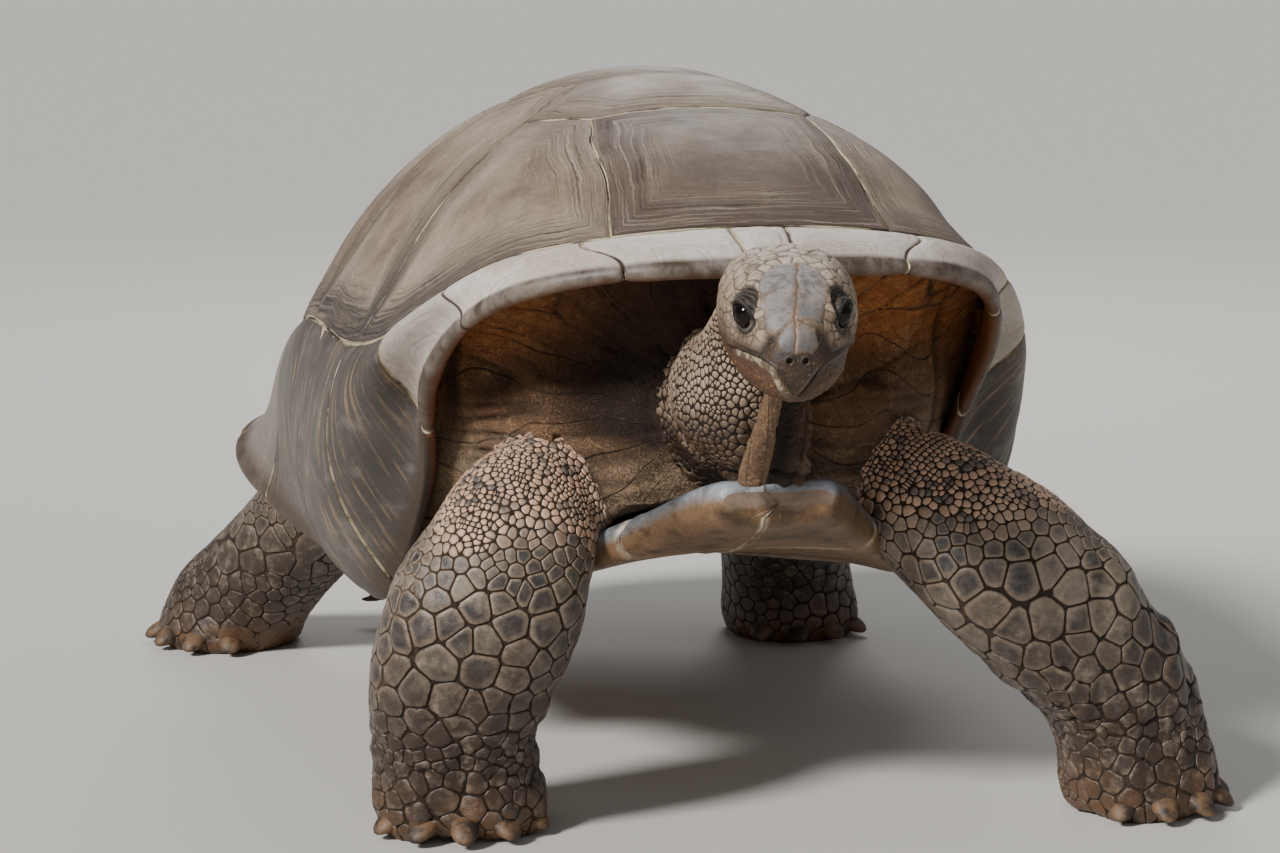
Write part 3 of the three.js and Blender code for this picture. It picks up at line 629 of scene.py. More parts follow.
def plastronPlate(name, start, end, material):
    # a slab of loops between two stations; near each end it is drawn in by
    # share * (1 - sqrt(1 - (1 - distance / bevel)^2))
    rows = int((end - start) / plastron["rowLength"])
    along = np.linspace(start + plastron["suture"], end - plastron["suture"], rows)
    toEnd = np.minimum(along - along[0], along[-1] - along)
    isNose = (name == "plastron_gular") & (along < (start + end) / 2)
    bevel = np.where(isNose, plastron["noseBevel"], plastron["bevel"])
    shrink = (1 - np.sqrt(np.clip(1 - (1 - np.clip(toEnd / bevel, 0, 1)) ** 2, 0, 1)))
    shrink = shrink * np.where(isNose, *plastron["draw"])
    toEnd = np.where(isNose, 80.0, toEnd)
    loops, up = plastronLoop(along, shrink)
    count = loops.shape[1]
    normal = unit(np.cross(np.gradient(loops, axis=1), np.gradient(loops, axis=0) + (0, 1e-6, 0)))
    edge = np.minimum(np.minimum(toEnd[:, None] + 0.5, np.abs(loops[..., 0])), 80)
    growth = softEdge(toEnd[:, None], np.abs(loops[..., 0]))
    inner = 1 - np.clip(growth / 70, 0, 1)
    height = scuteRelief(edge, growth, loops, 1.0, inner, 30.0)
    loops = loops + normal * height[..., None]
    # the ends close with rings drawn in to their middles
    shrinks = np.array([0.97, 0.9, 0.8, 0.7, 0.6, 0.5, 0.4, 0.3, 0.2, 0.1])[:, None, None]
    inward = np.concatenate([shrinks, np.ones_like(shrinks), shrinks], -1)
    caps = [loop.mean(0) + (loop - loop.mean(0)) * inward for loop in (loops[0], loops[-1])]
    # across the nose face runs a hollow over a lip, and its middle juts forward as a block
    if name == "plastron_gular":
        level = caps[0][..., 2] + 1.5 * valueNoise(caps[0], 30, 98)
        waves = sum(bell(level, *wave) for wave in plastron["noseWaves"])
        waves = waves + plastron["noseGrit"] * layeredNoise(caps[0], 9, 99, 2)
        caps[0][..., 1] += waves * smoothStep(1.0, 0.9, shrinks[..., 0])
        middle, outer, full = plastron["noseBlock"]
        for grid, reach in ((caps[0], 1.0), (loops, smoothStep(start + 30, start + 4, along)[:, None])):
            block = smoothStep(outer, full, np.abs(grid[..., 0] - middle))
            grid[..., 1] -= plastron["noseJut"] * reach * block
    rings = np.concatenate([caps[0][::-1], loops, caps[1]])
    pad = len(shrinks)
    quads = gridQuads(len(rings), count, wrapColumns=True)
    points = np.concatenate([rings.reshape(-1, 3), rings[:1].mean(1), rings[-1:].mean(1)])
    total = len(rings) * count
    caps = np.concatenate([fan(total, np.arange(count)),
                           fan(total + 1, np.arange(count) + total - count)[:, ::-1]])
    isGular = float(name == "plastron_gular")
    front = isGular * smoothStep(start + 14, start + 4, along)[:, None] + 0 * up
    spare = dict(edge=9.0, top=0.5, front=isGular)
    values = {}
    for key, grid in dict(edge=edge, top=up, front=front).items():
        full = np.broadcast_to(grid, loops.shape[:2])
        values[key] = np.concatenate([np.full(pad * count, spare[key]), full.ravel(),
                                      np.full(pad * count, spare[key] * (key != "front")), [spare[key], 0.0]])
    piece = makePiece(name + "_scutes", points, quads, caps, material, values)
    recalculate(piece)
    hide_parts(name)
    return piece


def buildPlastron(material):
    for name, start, end in plastron["plates"]:
        plastronPlate(name, start, end, material)


head = dict(
    place=(2.5, -574.0, 520.0), pitch=10.0, yaw=-9.5, power=2.45, around=372, along=250,
    station=[0, 14, 32, 59, 86, 106, 122, 138, 155, 170, 184, 196, 208, 219, 229],
    ahead=[-14, 0, 18, 45, 72, 92, 108, 124, 140, 152, 161, 166, 167.6, 168.5, 169],
    half=[40, 46, 53, 57.5, 57, 53.5, 49, 43.5, 36.5, 30, 24, 19, 14, 7, 0.3],
    top=[22, 35, 47, 51, 51.5, 49.5, 45, 38, 28, 17, 7, -2, -9, -16, -21.6],
    bottom=[-40, -47, -53, -56, -57, -57, -56, -53, -50, -48, -46, -43, -36, -29, -22.4],
    wide=[0, 0, 1, 2, 0, -4, -8, -12, -15, -18, -20, -22, -22, -22, -22],
    eye=(37.0, 112.5, 15.5), eyeRadius=12.8, gaze=(0.80, 0.56, 0.20),
    mouthAcross=[0, 6, 13.5, 19.5, 28, 39, 48, 53, 56],
    mouthAhead=[168, 168, 167.5, 165.5, 154, 134, 112, 96, 84],
    mouthUp=[-39, -33.5, -23, -15.5, -11.5, -12, -14.5, -17, -18.5],
    nostril=(6.7, 167.5, -8.8),
)
# the big plates on the brow and nose: distance across, distance along the head's top
headPlates = [
    [(-1.3, 165), (-12, 171), (-18.8, 173), (-25.3, 164), (-27, 146), (-26.8, 128), (-24.3, 114), (-9.4, 101),
     (5, 101), (1.8, 136)],
    [(-1.3, 165), (1.8, 136), (5, 101), (22.5, 110), (27.4, 128), (25, 148), (21.3, 163), (3.8, 167)],
    [(-1.3, 165), (-12, 171), (-17.6, 177), (-16.5, 186), (-11, 195), (-1.4, 198)],
    [(-1.3, 165), (3.8, 167), (15.8, 169), (17, 182), (12.6, 194), (-1.4, 198)],
]


def headPoint(s, turn):
    # a superellipse about a path, given by distance along the profile and angle from the top
    s, turn = np.broadcast_arrays(s, turn)
    ahead, half, top, bottom, wide = (through(head["station"], head[key], s)
                                      for key in ("ahead", "half", "top", "bottom", "wide"))
    tall = np.where(np.cos(turn) > 0, top - wide, wide - bottom)
    radius = (np.abs(np.sin(turn) / half) ** head["power"] + np.abs(np.cos(turn) / tall) ** head["power"])
    radius = radius ** (-1 / head["power"])
    return np.stack([radius * np.sin(turn), ahead, wide + radius * np.cos(turn)], -1)


def fromHead(points):
    # across, ahead, up of the head to the body plan: pitch about X, then yaw about Z
    pitch, yaw = math.radians(head["pitch"]), math.radians(head["yaw"])
    x, y, z = points[..., 0], -points[..., 1], points[..., 2]
    y, z = y * math.cos(pitch) - z * math.sin(pitch), y * math.sin(pitch) + z * math.cos(pitch)
    x, y = x * math.cos(yaw) - y * math.sin(yaw), x * math.sin(yaw) + y * math.cos(yaw)
    return np.stack([x, y, z], -1) + head["place"]


def polygonDepth(across, along, corners):
    # distance to the nearest side, positive inside
    corners = np.asarray(corners, float)
    inside = np.zeros(across.shape, bool)
    nearest = np.full(across.shape, 1e9)
    for (ax, ay), (bx, by) in zip(corners, np.roll(corners, -1, 0)):
        dx, dy = bx - ax, by - ay
        t = np.clip(((across - ax) * dx + (along - ay) * dy) / (dx * dx + dy * dy), 0, 1)
        nearest = np.minimum(nearest, np.hypot(across - ax - t * dx, along - ay - t * dy))
        crossing = ((ay > along) != (by > along)) & (across < ax + (along - ay) / (dy + 1e-12) * dx)
        inside ^= crossing
    return np.where(inside, nearest, -nearest)


def spread(points, spacing, seed):
    # indices of points no closer together than the spacing at each, in a seeded order
    order = np.random.default_rng(seed).permutation(len(points))
    kept = np.zeros(len(points), int)
    count = 0
    for i in order:
        near = points[kept[:count]] - points[i]
        if count == 0 or ((near ** 2).sum(1) > (spacing[i] * 0.5 + spacing[kept[:count]] * 0.5) ** 2).all():
            kept[count] = i
            count += 1
    return kept[:count]


def cellEdges(points, sites):
    # for each point: its cell, and the distance to the wall between the two nearest sites,
    # (d2^2 - d1^2) / (2 |s2 - s1|)
    owner = np.zeros(len(points), int)
    edge = np.zeros(len(points))
    for start in range(0, len(points), 8000):
        part = points[start:start + 8000]
        far = (part ** 2).sum(1)[:, None] + (sites ** 2).sum(1)[None] - 2 * part @ sites.T
        two = np.argpartition(far, 1, axis=1)[:, :2]
        both = np.take_along_axis(far, two, 1)
        swap = both[:, 0] > both[:, 1]
        two[swap] = two[swap][:, ::-1]
        both[swap] = both[swap][:, ::-1]
        owner[start:start + 8000] = two[:, 0]
        apart = np.linalg.norm(sites[two[:, 0]] - sites[two[:, 1]], axis=1)
        edge[start:start + 8000] = (both[:, 1] - both[:, 0]) / (2 * apart)
    return owner, edge


def mouthDistance(points):
    # distance to the line of the mouth, negative below it
    across = np.linspace(0, 56, 90)
    line = np.stack([across, through(head["mouthAcross"], head["mouthAhead"], across),
                     through(head["mouthAcross"], head["mouthUp"], across)], -1)
    folded = points.copy()
    folded[:, 0] = np.abs(folded[:, 0])
    nearest = np.full(len(points), 1e9)
    for start in range(0, len(points), 20000):
        part = folded[start:start + 20000]
        away = ((part[:, None] - line[None]) ** 2).sum(-1)
        nearest[start:start + 20000] = np.sqrt(away.min(1))
    level = through(head["mouthAcross"], head["mouthUp"], folded[:, 0])
    return nearest * np.where(points[:, 2] > level, 1, -1)


def eyeFrame(side):
    centre = np.array(head["eye"]) * (side, 1, 1)
    out = unit(np.array(head["gaze"]) * (side, 1, 1))
    front = unit(np.array([0, 1, 0.05]) - out * (out @ np.array([0, 1, 0.05])))
    up = np.cross(out, front) * side
    up *= np.sign(up[2])
    return centre, out, front, up


# bumps and hollows are height, place and width; pairs are where a share starts and ends
lidShape = dict(
    clearOf=8, reach=34, behind=-24, overEye=1.5, slitLong=11.4, slitUp=9.4, slitDown=10.6, slitLow=2.0,
    wrinkle=2.6, upperSwell=(2.6, 4.5, 3.6), lowerSwell=(0.9, 1.6, 1.2), brow=(4.2, 19.5, 4.2),
    hollow=(1, 17.0, 4.0), hollowDepth=(4.6, 2.4), blend=(11.5, 16.5), dark=(16.5, 20.5), drop=5.5,
    lowerRim=(1, 1.4, 1.0),
)


def setLids(points, side, marks):
    # round each eye the surface is moved along the line of sight: lids follow a ball a little
    # larger than the eye, the upper one swollen and wrinkled; inside the slit the surface drops
    # behind the eyeball, and outside the lids lies a hollow under the brow
    centre, out, front, up = eyeFrame(side)
    away = points - centre
    u, v, w = away @ front, away @ up, away @ out
    rho = np.hypot(u, v)
    ours = (points[:, 0] * side > lidShape["clearOf"]) & (rho < lidShape["reach"]) & (w > lidShape["behind"])
    ball = np.sqrt(np.maximum((head["eyeRadius"] + lidShape["overEye"]) ** 2 - rho ** 2, 4.0))
    low = lidShape["slitLow"]
    slitHeight = np.where(v > -low, lidShape["slitUp"], lidShape["slitDown"])
    slit = np.hypot(u / lidShape["slitLong"], (v + low) / slitHeight)
    fromSlit = (slit - 1) * 10
    upper = smoothStep(-2, 4, v)
    reach = np.hypot(u, np.where(v > 0, v * 0.82, v))
    waves = fromSlit + 0.9 * valueNoise(points, 5, 51)
    ridge = 0.5 + 0.5 * np.sin(waves * 2 * np.pi / lidShape["wrinkle"])
    onLid = smoothStep(0.4, 1.8, fromSlit) * (1 - smoothStep(9, 13, fromSlit))
    wrinkle = (0.5 + 0.9 * upper) * (ridge - 0.5) * onLid
    swell = (upper * bell(fromSlit, *lidShape["upperSwell"])
             + (1 - upper) * bell(fromSlit, *lidShape["lowerSwell"]))
    brow = upper * bell(reach, *lidShape["brow"])
    deepest, upperLoss = lidShape["hollowDepth"]
    hollow = (deepest - upperLoss * upper) * bell(reach, *lidShape["hollow"])
    blend = 1 - smoothStep(*lidShape["blend"], reach)
    height = (w + brow) * (1 - blend) + (ball + swell + wrinkle) * blend - hollow * (1 - blend * 0.6)
    inSlit = smoothStep(1.06, 0.98, slit)
    height = height * (1 - inSlit) + (ball - lidShape["drop"]) * inSlit
    moved = points + out * (height - w)[:, None]
    points[ours] = moved[ours]
    wrinkled = ridge * (0.25 + 0.75 * upper) * smoothStep(1.5, 3.5, fromSlit)
    lowerRim = bell(fromSlit, *lidShape["lowerRim"]) * smoothStep(0, -5, v)
    dark = 1 - smoothStep(*lidShape["dark"], reach)
    for key, mark in dict(lid=dark, ridge=wrinkled, slitRim=lowerRim).items():
        marks[key] = np.maximum(marks[key], ours * mark)


# forms are height, place and width; scale sizes are the least and what the crown adds
headForm = dict(
    scaleSize=(6.0, 5.0), jawScale=5.0, scaleHeights=(0.85, 0.3), plateHeight=1.25,
    mouthCut=(-3.6, -0.4, 1.05), jawSetBack=2.8, beakLip=(0.9, 1.6, 1.3), hornRidges=(0.22, 2.7),
    temple=((2.4, 30, 7), (1, 108, 26)), keel=(1.2, 0, 9), lore=((2.6, 27, 7), (1, 4, 9)),
    nostrilRim=(0.5, 3.6, 0.9), nostrilDepth=5.0,
)


def buildHead(material):
    # one sheet round the head: plates, small scales, beak, mouth, nostrils and lids are heights
    # along the normal; a scale's height is 0.85 (1 - exp(-edge / 0.7)) + 0.3 sqrt(edge / 5)
    length = head["station"][-1]
    s = np.linspace(0, length, head["along"])[:, None]
    turn = turnSteps(head["around"])[None]
    base = headPoint(s, turn)
    normals = unit(np.cross(np.roll(base, -1, 1) - np.roll(base, 1, 1), np.gradient(base, axis=0)))
    normals *= np.sign((normals * (base - (0, 70, 0))).sum(-1).mean())
    points = base.reshape(-1, 3)
    flatNormal = normals.reshape(-1, 3)
    along = np.broadcast_to(s, base.shape[:2]).ravel()
    across = points[:, 0]
    up = points[:, 2]
    plateEdge = np.full(len(points), -99.0)
    topSide = up > -14
    for corners in headPlates:
        wobble = [1.5 * layeredNoise(points, 12, seed) + 0.7 * valueNoise(points, 4, seed)
                  for seed in (60, 66)]
        depth = np.where(topSide, polygonDepth(across + wobble[0], along + wobble[1], corners), -99)
        plateEdge = np.maximum(plateEdge, depth)
    mouth = mouthDistance(points)
    # small scales elsewhere: bigger on the crown and temples, fine on the jaw and round the eyes
    eyeAway = np.linalg.norm(np.abs(points) * (1, 0, 0) + points * (0, 1, 1) - head["eye"], axis=1)
    least, more = headForm["scaleSize"]
    size = least + more * smoothStep(-25, 20, up) * smoothStep(150, 90, along)
    size *= 1 + 0.35 * valueNoise(points, 14, 55)
    size = np.where(up < -34, headForm["jawScale"], size) * (0.62 + 0.38 * smoothStep(16, 30, eyeAway))
    free = (plateEdge < -2.5) & (along < 212)
    pick = np.flatnonzero(free)[::7]
    sites = points[pick[spread(points[pick], size[pick], 7)]]
    owner, edge = cellEdges(points, sites)
    cellRandom = np.random.default_rng(8).random(len(sites))[owner]
    snout = smoothStep(163, 176, along + 0.15 * np.abs(across))
    hornBeak = smoothStep(-1.0, 1.0, mouth) * snout * (plateEdge < 0)
    lip = smoothStep(9.0, 6.0, np.abs(mouth + 2)) * smoothStep(118, 135, along) * (mouth > -1)
    hornBeak = np.maximum(hornBeak, lip)
    hornDepth = 7 + 4 * smoothStep(30, 8, np.abs(across)) + 1.5 * valueNoise(points, 9, 56)
    lowerHorn = (smoothStep(0, -1.5, mouth) * smoothStep(-hornDepth - 1, -hornDepth + 1, mouth)
                 * smoothStep(112, 126, along))
    small = np.where(plateEdge > 0, 0, 1) * (1 - np.clip(hornBeak + lowerHorn, 0, 1))
    wall, dome = headForm["scaleHeights"]
    relief = small * (wall * (1 - np.exp(-edge / 0.7)) + dome * np.sqrt(np.clip(edge / 5, 0, 1))) * (size / 8)
    crinkle = bell(valueNoise(points * (1, 1, 1.6), 5.5, 57), 1, 0, 0.18)
    relief -= small * 0.35 * crinkle + 0.25 * small * (1 - np.abs(valueNoise(points, 2.2, 58)))
    plateBody = 1 - np.exp(-np.clip(plateEdge, 0, 99) / 0.8)
    plateTop = headForm["plateHeight"] * plateBody + 0.15 * layeredNoise(points, 14, 71)
    relief += np.where(plateEdge > 0, plateTop, 0)
    relief += 0.25 * layeredNoise(points, 22, 72)
    # the mouth: a cut below the edge of the beak, with the lower jaw set back under it
    below = smoothStep(0, -1.6, mouth)
    corner = smoothStep(70, 92, along)
    setBack = headForm["jawSetBack"] * below * (1 - smoothStep(8, 24, -mouth))
    relief += corner * (bell(mouth, *headForm["mouthCut"]) - setBack)
    relief += corner * bell(mouth, *headForm["beakLip"])
    ridgeHeight, ridgeWidth = headForm["hornRidges"]
    ridges = 0.5 + 0.5 * np.sin((np.abs(across) + 1.2 * valueNoise(points, 7, 59)) * 2 * np.pi / ridgeWidth)
    hornShare = np.clip(lowerHorn + bell(mouth, 1, 4, 5) * smoothStep(120, 150, along), 0, 1)
    relief += ridgeHeight * (ridges - 0.5) * hornShare
    grit = smoothStep(-22, -30, up) * smoothStep(-2, -8, mouth) * (1 - lowerHorn)
    relief += grit * (0.5 * layeredNoise(points, 3.0, 61, 2) + 0.8 * layeredNoise(points, 12, 62, 2))
    # a ridge from the brow to the temple, a low keel on the snout and a pinched lore
    farOut = np.abs(across)
    temple, lore = headForm["temple"], headForm["lore"]
    relief += bell(farOut, *temple[0]) * bell(along, *temple[1]) * smoothStep(15, 30, up)
    relief += bell(farOut, *headForm["keel"]) * smoothStep(120, 145, along) * smoothStep(192, 170, along)
    relief -= bell(farOut, *lore[0]) * bell(up, *lore[1]) * smoothStep(128, 146, along)
    for side in (-1, 1):
        hole = np.linalg.norm(points - np.array(head["nostril"]) * (side, 1, 1), axis=1)
        relief += bell(hole, *headForm["nostrilRim"]) - headForm["nostrilDepth"] * smoothStep(2.6, 1.4, hole)
    relief *= smoothStep(0, 6, along)
    marks = dict(lid=np.zeros(len(points)), slitRim=np.zeros(len(points)), ridge=ridges * hornShare)
    lids = points.copy()
    for side in (-1, 1):
        setLids(lids, side, marks)
    shaped = lids + flatNormal * (relief * smoothStep(14.0, 19.0, eyeAway))[:, None]
    values = dict(cell=cellRandom, edge=np.where(plateEdge > 0, plateEdge, edge * small + 3 * (1 - small)),
                  plate=smoothStep(-0.3, 0.6, plateEdge), beak=np.clip(hornBeak, 0, 1), jaw=lowerHorn,
                  # the animal's left and the middle of the lower beak, which the material paints brown as
                  # shade, leaving the pale horn on the lit right side as a painted highlight
                  up=up, grit=grit, shadedJawSide=smoothStep(-16, -4, across + 5 * valueNoise(points, 9, 63)),
                  **marks)
    world = fromHead(shaped)
    count = head["around"]
    quads = gridQuads(head["along"] - 1, count, wrapColumns=True)
    pole = len(world) - count
    world[pole:] = world[pole:].mean(0)
    triangles = fan(pole, np.arange(count) + pole - count)
    spreadMap = np.stack(np.broadcast_arrays(turn / (2 * np.pi), s / length), -1).reshape(-1, 2)
    piece = makePiece("head_scales", world, quads, triangles, material, values, spreadMap)
    lookFrom(piece, fromHead(np.array([0.0, 70.0, 0.0])))
    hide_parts("head")
    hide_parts("lower_jaw")
    return piece


eyeBall = dict(rings=48, sides=64, cornea=(0.5, 0, 0.55))


def buildEyes(material):
    # a ball with rings of latitude about the line of sight, and a cornea that swells a little:
    # radius(polar) = radius + height * exp(-(polar / width)^2)
    sides = eyeBall["sides"]
    for side, name in ((-1, "eye_right"), (1, "eye_left")):
        centre, out, front, up = eyeFrame(side)
        polar = np.linspace(0, np.pi, eyeBall["rings"] + 1)[1:-1, None]
        turn = turnSteps(sides)[None]
        radius = head["eyeRadius"] + bell(polar, *eyeBall["cornea"])
        ring = (np.cos(polar) * radius)[..., None] * out + (np.sin(polar) * radius)[..., None] * (
            np.cos(turn)[..., None] * front + np.sin(turn)[..., None] * up)
        poles = np.array([out * (head["eyeRadius"] + eyeBall["cornea"][0]), -out * head["eyeRadius"]])
        points = np.concatenate([ring.reshape(-1, 3), poles]) + centre
        rows = len(polar)
        quads = gridQuads(rows, sides, wrapColumns=True)
        total = rows * sides
        caps = np.concatenate([fan(total, np.arange(sides)),
                               fan(total + 1, np.arange(sides) + total - sides)[:, ::-1]])
        polarOf = np.concatenate([np.broadcast_to(polar, (rows, sides)).ravel(), [0, np.pi]])
        piece = makePiece(name + "_ball", fromHead(points), quads, caps, material, dict(polar=polarOf))
        recalculate(piece)
        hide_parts(name)


limbs = dict(
    foreleg_right=dict(
        heading=(-0.1, -1, 0), claws=(20, 66, (-62, -31, 0, 31, 62)),
        stations=[(-128, -250, 300, 58, 56), (-158, -320, 302, 62, 62), (-186, -372, 292, 68, 72),
                  (-206, -398, 262, 72, 80), (-226, -404, 220, 74, 90), (-246, -396, 168, 70, 88),
                  (-254, -378, 110, 66, 82), (-250, -360, 62, 68, 80), (-246, -352, 24, 76, 84),
                  (-246, -350, 0, 70, 78)]),
    foreleg_left=dict(
        heading=(0.35, -1, 0), claws=(22, 66, (-50, -20, 10, 40, 70)),
        stations=[(128, -250, 302, 58, 56), (154, -318, 306, 62, 60), (186, -370, 298, 66, 68),
                  (220, -402, 272, 72, 76), (252, -418, 246, 76, 82), (288, -424, 212, 76, 82),
                  (330, -424, 168, 74, 80), (366, -420, 126, 70, 76), (388, -414, 76, 68, 76),
                  (398, -410, 28, 76, 76), (398, -408, 0, 70, 70)]),
    hindleg_right=dict(
        heading=(-0.75, -0.6, 0), claws=(18, 74, (-45, -15, 15, 45)),
        stations=[(-160, 262, 300, 70, 66), (-208, 314, 264, 78, 72), (-262, 364, 202, 76, 70),
                  (-306, 412, 138, 70, 66), (-342, 458, 86, 70, 68), (-368, 492, 44, 78, 76),
                  (-376, 502, 14, 84, 80), (-376, 502, 0, 78, 74)]),
    hindleg_left=dict(
        heading=(0.15, -1, 0), claws=(18, 72, (-45, -15, 15, 45)),
        stations=[(165, 272, 300, 70, 66), (206, 318, 256, 78, 74), (238, 362, 190, 76, 74),
                  (254, 398, 120, 74, 74), (264, 418, 66, 76, 76), (268, 424, 26, 82, 80),
                  (268, 424, 0, 76, 74)]),
)
# x, y, z, half width, half height, slope of the path in degrees
neckStations = [(1, -583, 515, 46, 43, -6), (-1, -567, 502, 51, 49, 14), (-5, -550, 479, 54, 51, 36),
                (-14, -522, 444, 57, 57, 38), (-15, -480, 416, 62, 65, 30), (-5, -430, 400, 64, 70, 18),
                (4, -370, 386, 66, 72, 10), (4, -320, 380, 66, 72, 0)]
tailStations = [
    (0, 330, 285, 50, 44), (-8, 380, 283, 46, 42), (-22, 424, 266, 40, 36), (-48, 470, 222, 33, 30),
    (-94, 516, 148, 29, 27), (-154, 548, 66, 20, 19), (-204, 556, 32, 11, 10), (-222, 556, 24, 5, 5),
]
coatDepth = 3.0
# level, height or depth, and width of the creases and rolls
foldsOf = dict(
    wrist=((118, 3.0, 7), (96, 7.0, 6), (74, 4.5, 5)), toe=4.0,
    neckBase=((-497, 5.0, 14), (-474, -8.0, 5), (-461, 6.0, 8), (-446, -10.0, 6)),
)


def pathRings(stations, steps, sides, power, inset, heading=None, slopes=None):
    # |u / a|^power + |v / b|^power = 1 square to a smooth path through the stations
    table = np.asarray(stations, float)
    at = np.linspace(0, len(table) - 1, steps)
    centre = np.stack([smoothPath(table[:, i], at) for i in range(3)], -1)
    first = smoothPath(table[:, 3], at) - inset
    second = smoothPath(table[:, 4], at) - inset
    ahead = unit(np.gradient(centre, axis=0))
    if heading is not None:
        down = smoothStep(45, 22, centre[:, 2])[:, None]
        ahead = unit(ahead * (1 - down) + np.array([0, 0, -1.0]) * down)
        reference = np.array(heading, float)
        front = unit(reference - ahead * (ahead @ reference)[:, None])
        side = np.cross(ahead, front)
    elif slopes is not None:
        tilt = np.radians(smoothPath(table[:, 5], at))
        front = np.broadcast_to(np.array([1.0, 0, 0]), ahead.shape)
        side = np.stack([0 * tilt, np.sin(tilt), np.cos(tilt)], -1)
    else:
        front = unit(np.cross(ahead, [0, 0, 1.0]))
        side = np.cross(front, ahead)
    turn = turnSteps(sides)
    u = np.sign(np.cos(turn)) * np.abs(np.cos(turn)) ** (2 / power)
    v = np.sign(np.sin(turn)) * np.abs(np.sin(turn)) ** (2 / power)
    return (centre[:, None] + front[:, None] * (u * first[:, None])[..., None]
            + side[:, None] * (v * second[:, None])[..., None])


def smoothPath(values, at):
    # a Catmull-Rom curve through evenly spaced values, with free ends
    values = np.asarray(values, float)
    padded = np.concatenate([[2 * values[0] - values[1]], values, [2 * values[-1] - values[-2]]])
    i = np.clip(np.floor(at).astype(int), 0, len(values) - 2)
    t = at - i
    a, b, c, d = padded[i], padded[i + 1], padded[i + 2], padded[i + 3]
    return 0.5 * (2 * b + (c - a) * t + (2 * a - 5 * b + 4 * c - d) * t ** 2
                  + (3 * b - a - 3 * c + d) * t ** 3)


def closedTube(rings):
    # a grid of rings, closed at both ends by fans about their middles
    steps, sides = rings.shape[:2]
    points = np.concatenate([rings.reshape(-1, 3), [rings[0].mean(0), rings[-1].mean(0)]])
    total = steps * sides
    quads = gridQuads(steps, sides, wrapColumns=True)
    caps = np.concatenate([fan(total, np.arange(sides))[:, ::-1],
                           fan(total + 1, np.arange(sides) + total - sides)])
    return points, quads, caps


def limbRings(name):
    # rings down a leg, to just under its coat of scales
    limb = limbs[name]
    rings = pathRings(limb["stations"], 150, 140, 2.3, coatDepth, heading=limb["heading"])
    middle = rings.mean(1, keepdims=True)
    away = unit(rings - middle)
    z = rings[..., 2]
    folds = np.zeros(z.shape)
    if name.startswith("foreleg"):
        # creases round the wrist, deepest in front
        for level, depth, width in foldsOf["wrist"]:
            waver = level + 5 * valueNoise(rings, 60, 81)
            folds -= bell(z, depth, waver, width)
    folds += 2.0 * layeredNoise(rings, 90, 82, 2)
    # the toes swell in front of the claws
    _, _, spreadAngles = limb["claws"]
    flat = rings[..., :2] - limb["stations"][-1][:2]
    facing = math.atan2(limb["heading"][1], limb["heading"][0])
    bearing = np.degrees(np.arctan2(flat[..., 1], flat[..., 0]) - facing)
    bearing = (bearing + 180) % 360 - 180
    for angle in spreadAngles:
        folds += bell(bearing, foldsOf["toe"], angle, 10) * smoothStep(62, 26, z)
    rings = rings + away * (folds * smoothStep(-1, 12, z))[..., None]
    rings[..., 2] = np.maximum(rings[..., 2], 0.0)
    return rings


def neckRings():
    rings = pathRings(neckStations, 110, 140, 2.1, coatDepth, slopes=True)
    middle = rings.mean(1, keepdims=True)
    away = unit(rings - middle)
    y = rings[..., 1]
    side = np.arctan2(rings[..., 0] - middle[..., 0], -(rings[..., 2] - middle[..., 2]))
    # rounded rolls of skin about the base of the neck, and wrinkles down its sides:
    # roll(y) = height * exp(-((y - level) / width)^2), a crease where the height is negative
    folds = np.zeros(y.shape)
    along = middle[..., 1] + 8 * valueNoise(rings, 70, 83)
    for level, height, width in foldsOf["neckBase"]:
        folds += bell(along, height, level, width)
    around = np.stack([side * 9, y / 55, 0 * y], -1)
    wrinkle = bell(valueNoise(around, 1.0, 85), 1, 0, 0.22)
    folds -= 2.4 * wrinkle * smoothStep(0.35, 1.0, np.abs(side))
    folds += 2.0 * layeredNoise(rings, 70, 84, 2)
    return rings + away * folds[..., None]


def joined(bodies):
    # several closed bodies as one mesh
    points, quads, triangles = [], [], []
    start = 0
    for bodyPoints, bodyQuads, bodyTriangles in bodies:
        points.append(bodyPoints)
        quads.append(bodyQuads + start)
        triangles.append(bodyTriangles + start)
        start += len(bodyPoints)
    return np.concatenate(points), np.concatenate(quads), np.concatenate(triangles)


def nodeBody(name):
    # a fixed node's own points and faces, welded, in plan millimetres
    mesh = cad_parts[name].data
    points = readVectors(mesh.vertices, "co") / mm - shift
    mesh.calc_loop_triangles()
    corners = np.zeros(len(mesh.loop_triangles) * 3, int)
    mesh.loop_triangles.foreach_get("vertices", corners)
    rounded, index = np.unique(np.round(points, 3), axis=0, return_inverse=True)
    return rounded, np.zeros((0, 4), int), index.ravel()[corners].reshape(-1, 3)


# the hanging skin of the throat, from the chin to the plastron, as the stations of the neck
throatStations = [(10, -552, 450, 24, 18, 90), (10, -545, 422, 28, 24, 90), (11, -535, 396, 31, 28, 90),
                  (12, -522, 372, 34, 30, 90), (12, -508, 350, 36, 28, 90), (12, -500, 330, 36, 24, 90)]
skinShape = dict(
    voxel=10.2, soften=2, cuts=2, neckBase=(-8.0, 392.0), recess=40.0,
    creases=[(7.0, 120.0, 6.0, 0.07, 86), (17.0, 90.0, 2.6, 0.10, 87)], net=(26.0, 1.3, 0.10, 88),
    bottomFolds=(120.0, 15.0, 7.5, 0.26, 89), sideFolds=(13.0, 160.0, 8.0, 0.28, 94),
    throat=(10.0, 32.0), throatFolds=(9.0, 90.0, 5.5, 0.30, 97), fine=(-215, 235, 0.2, -5), lumps=(3.0, 60),
)


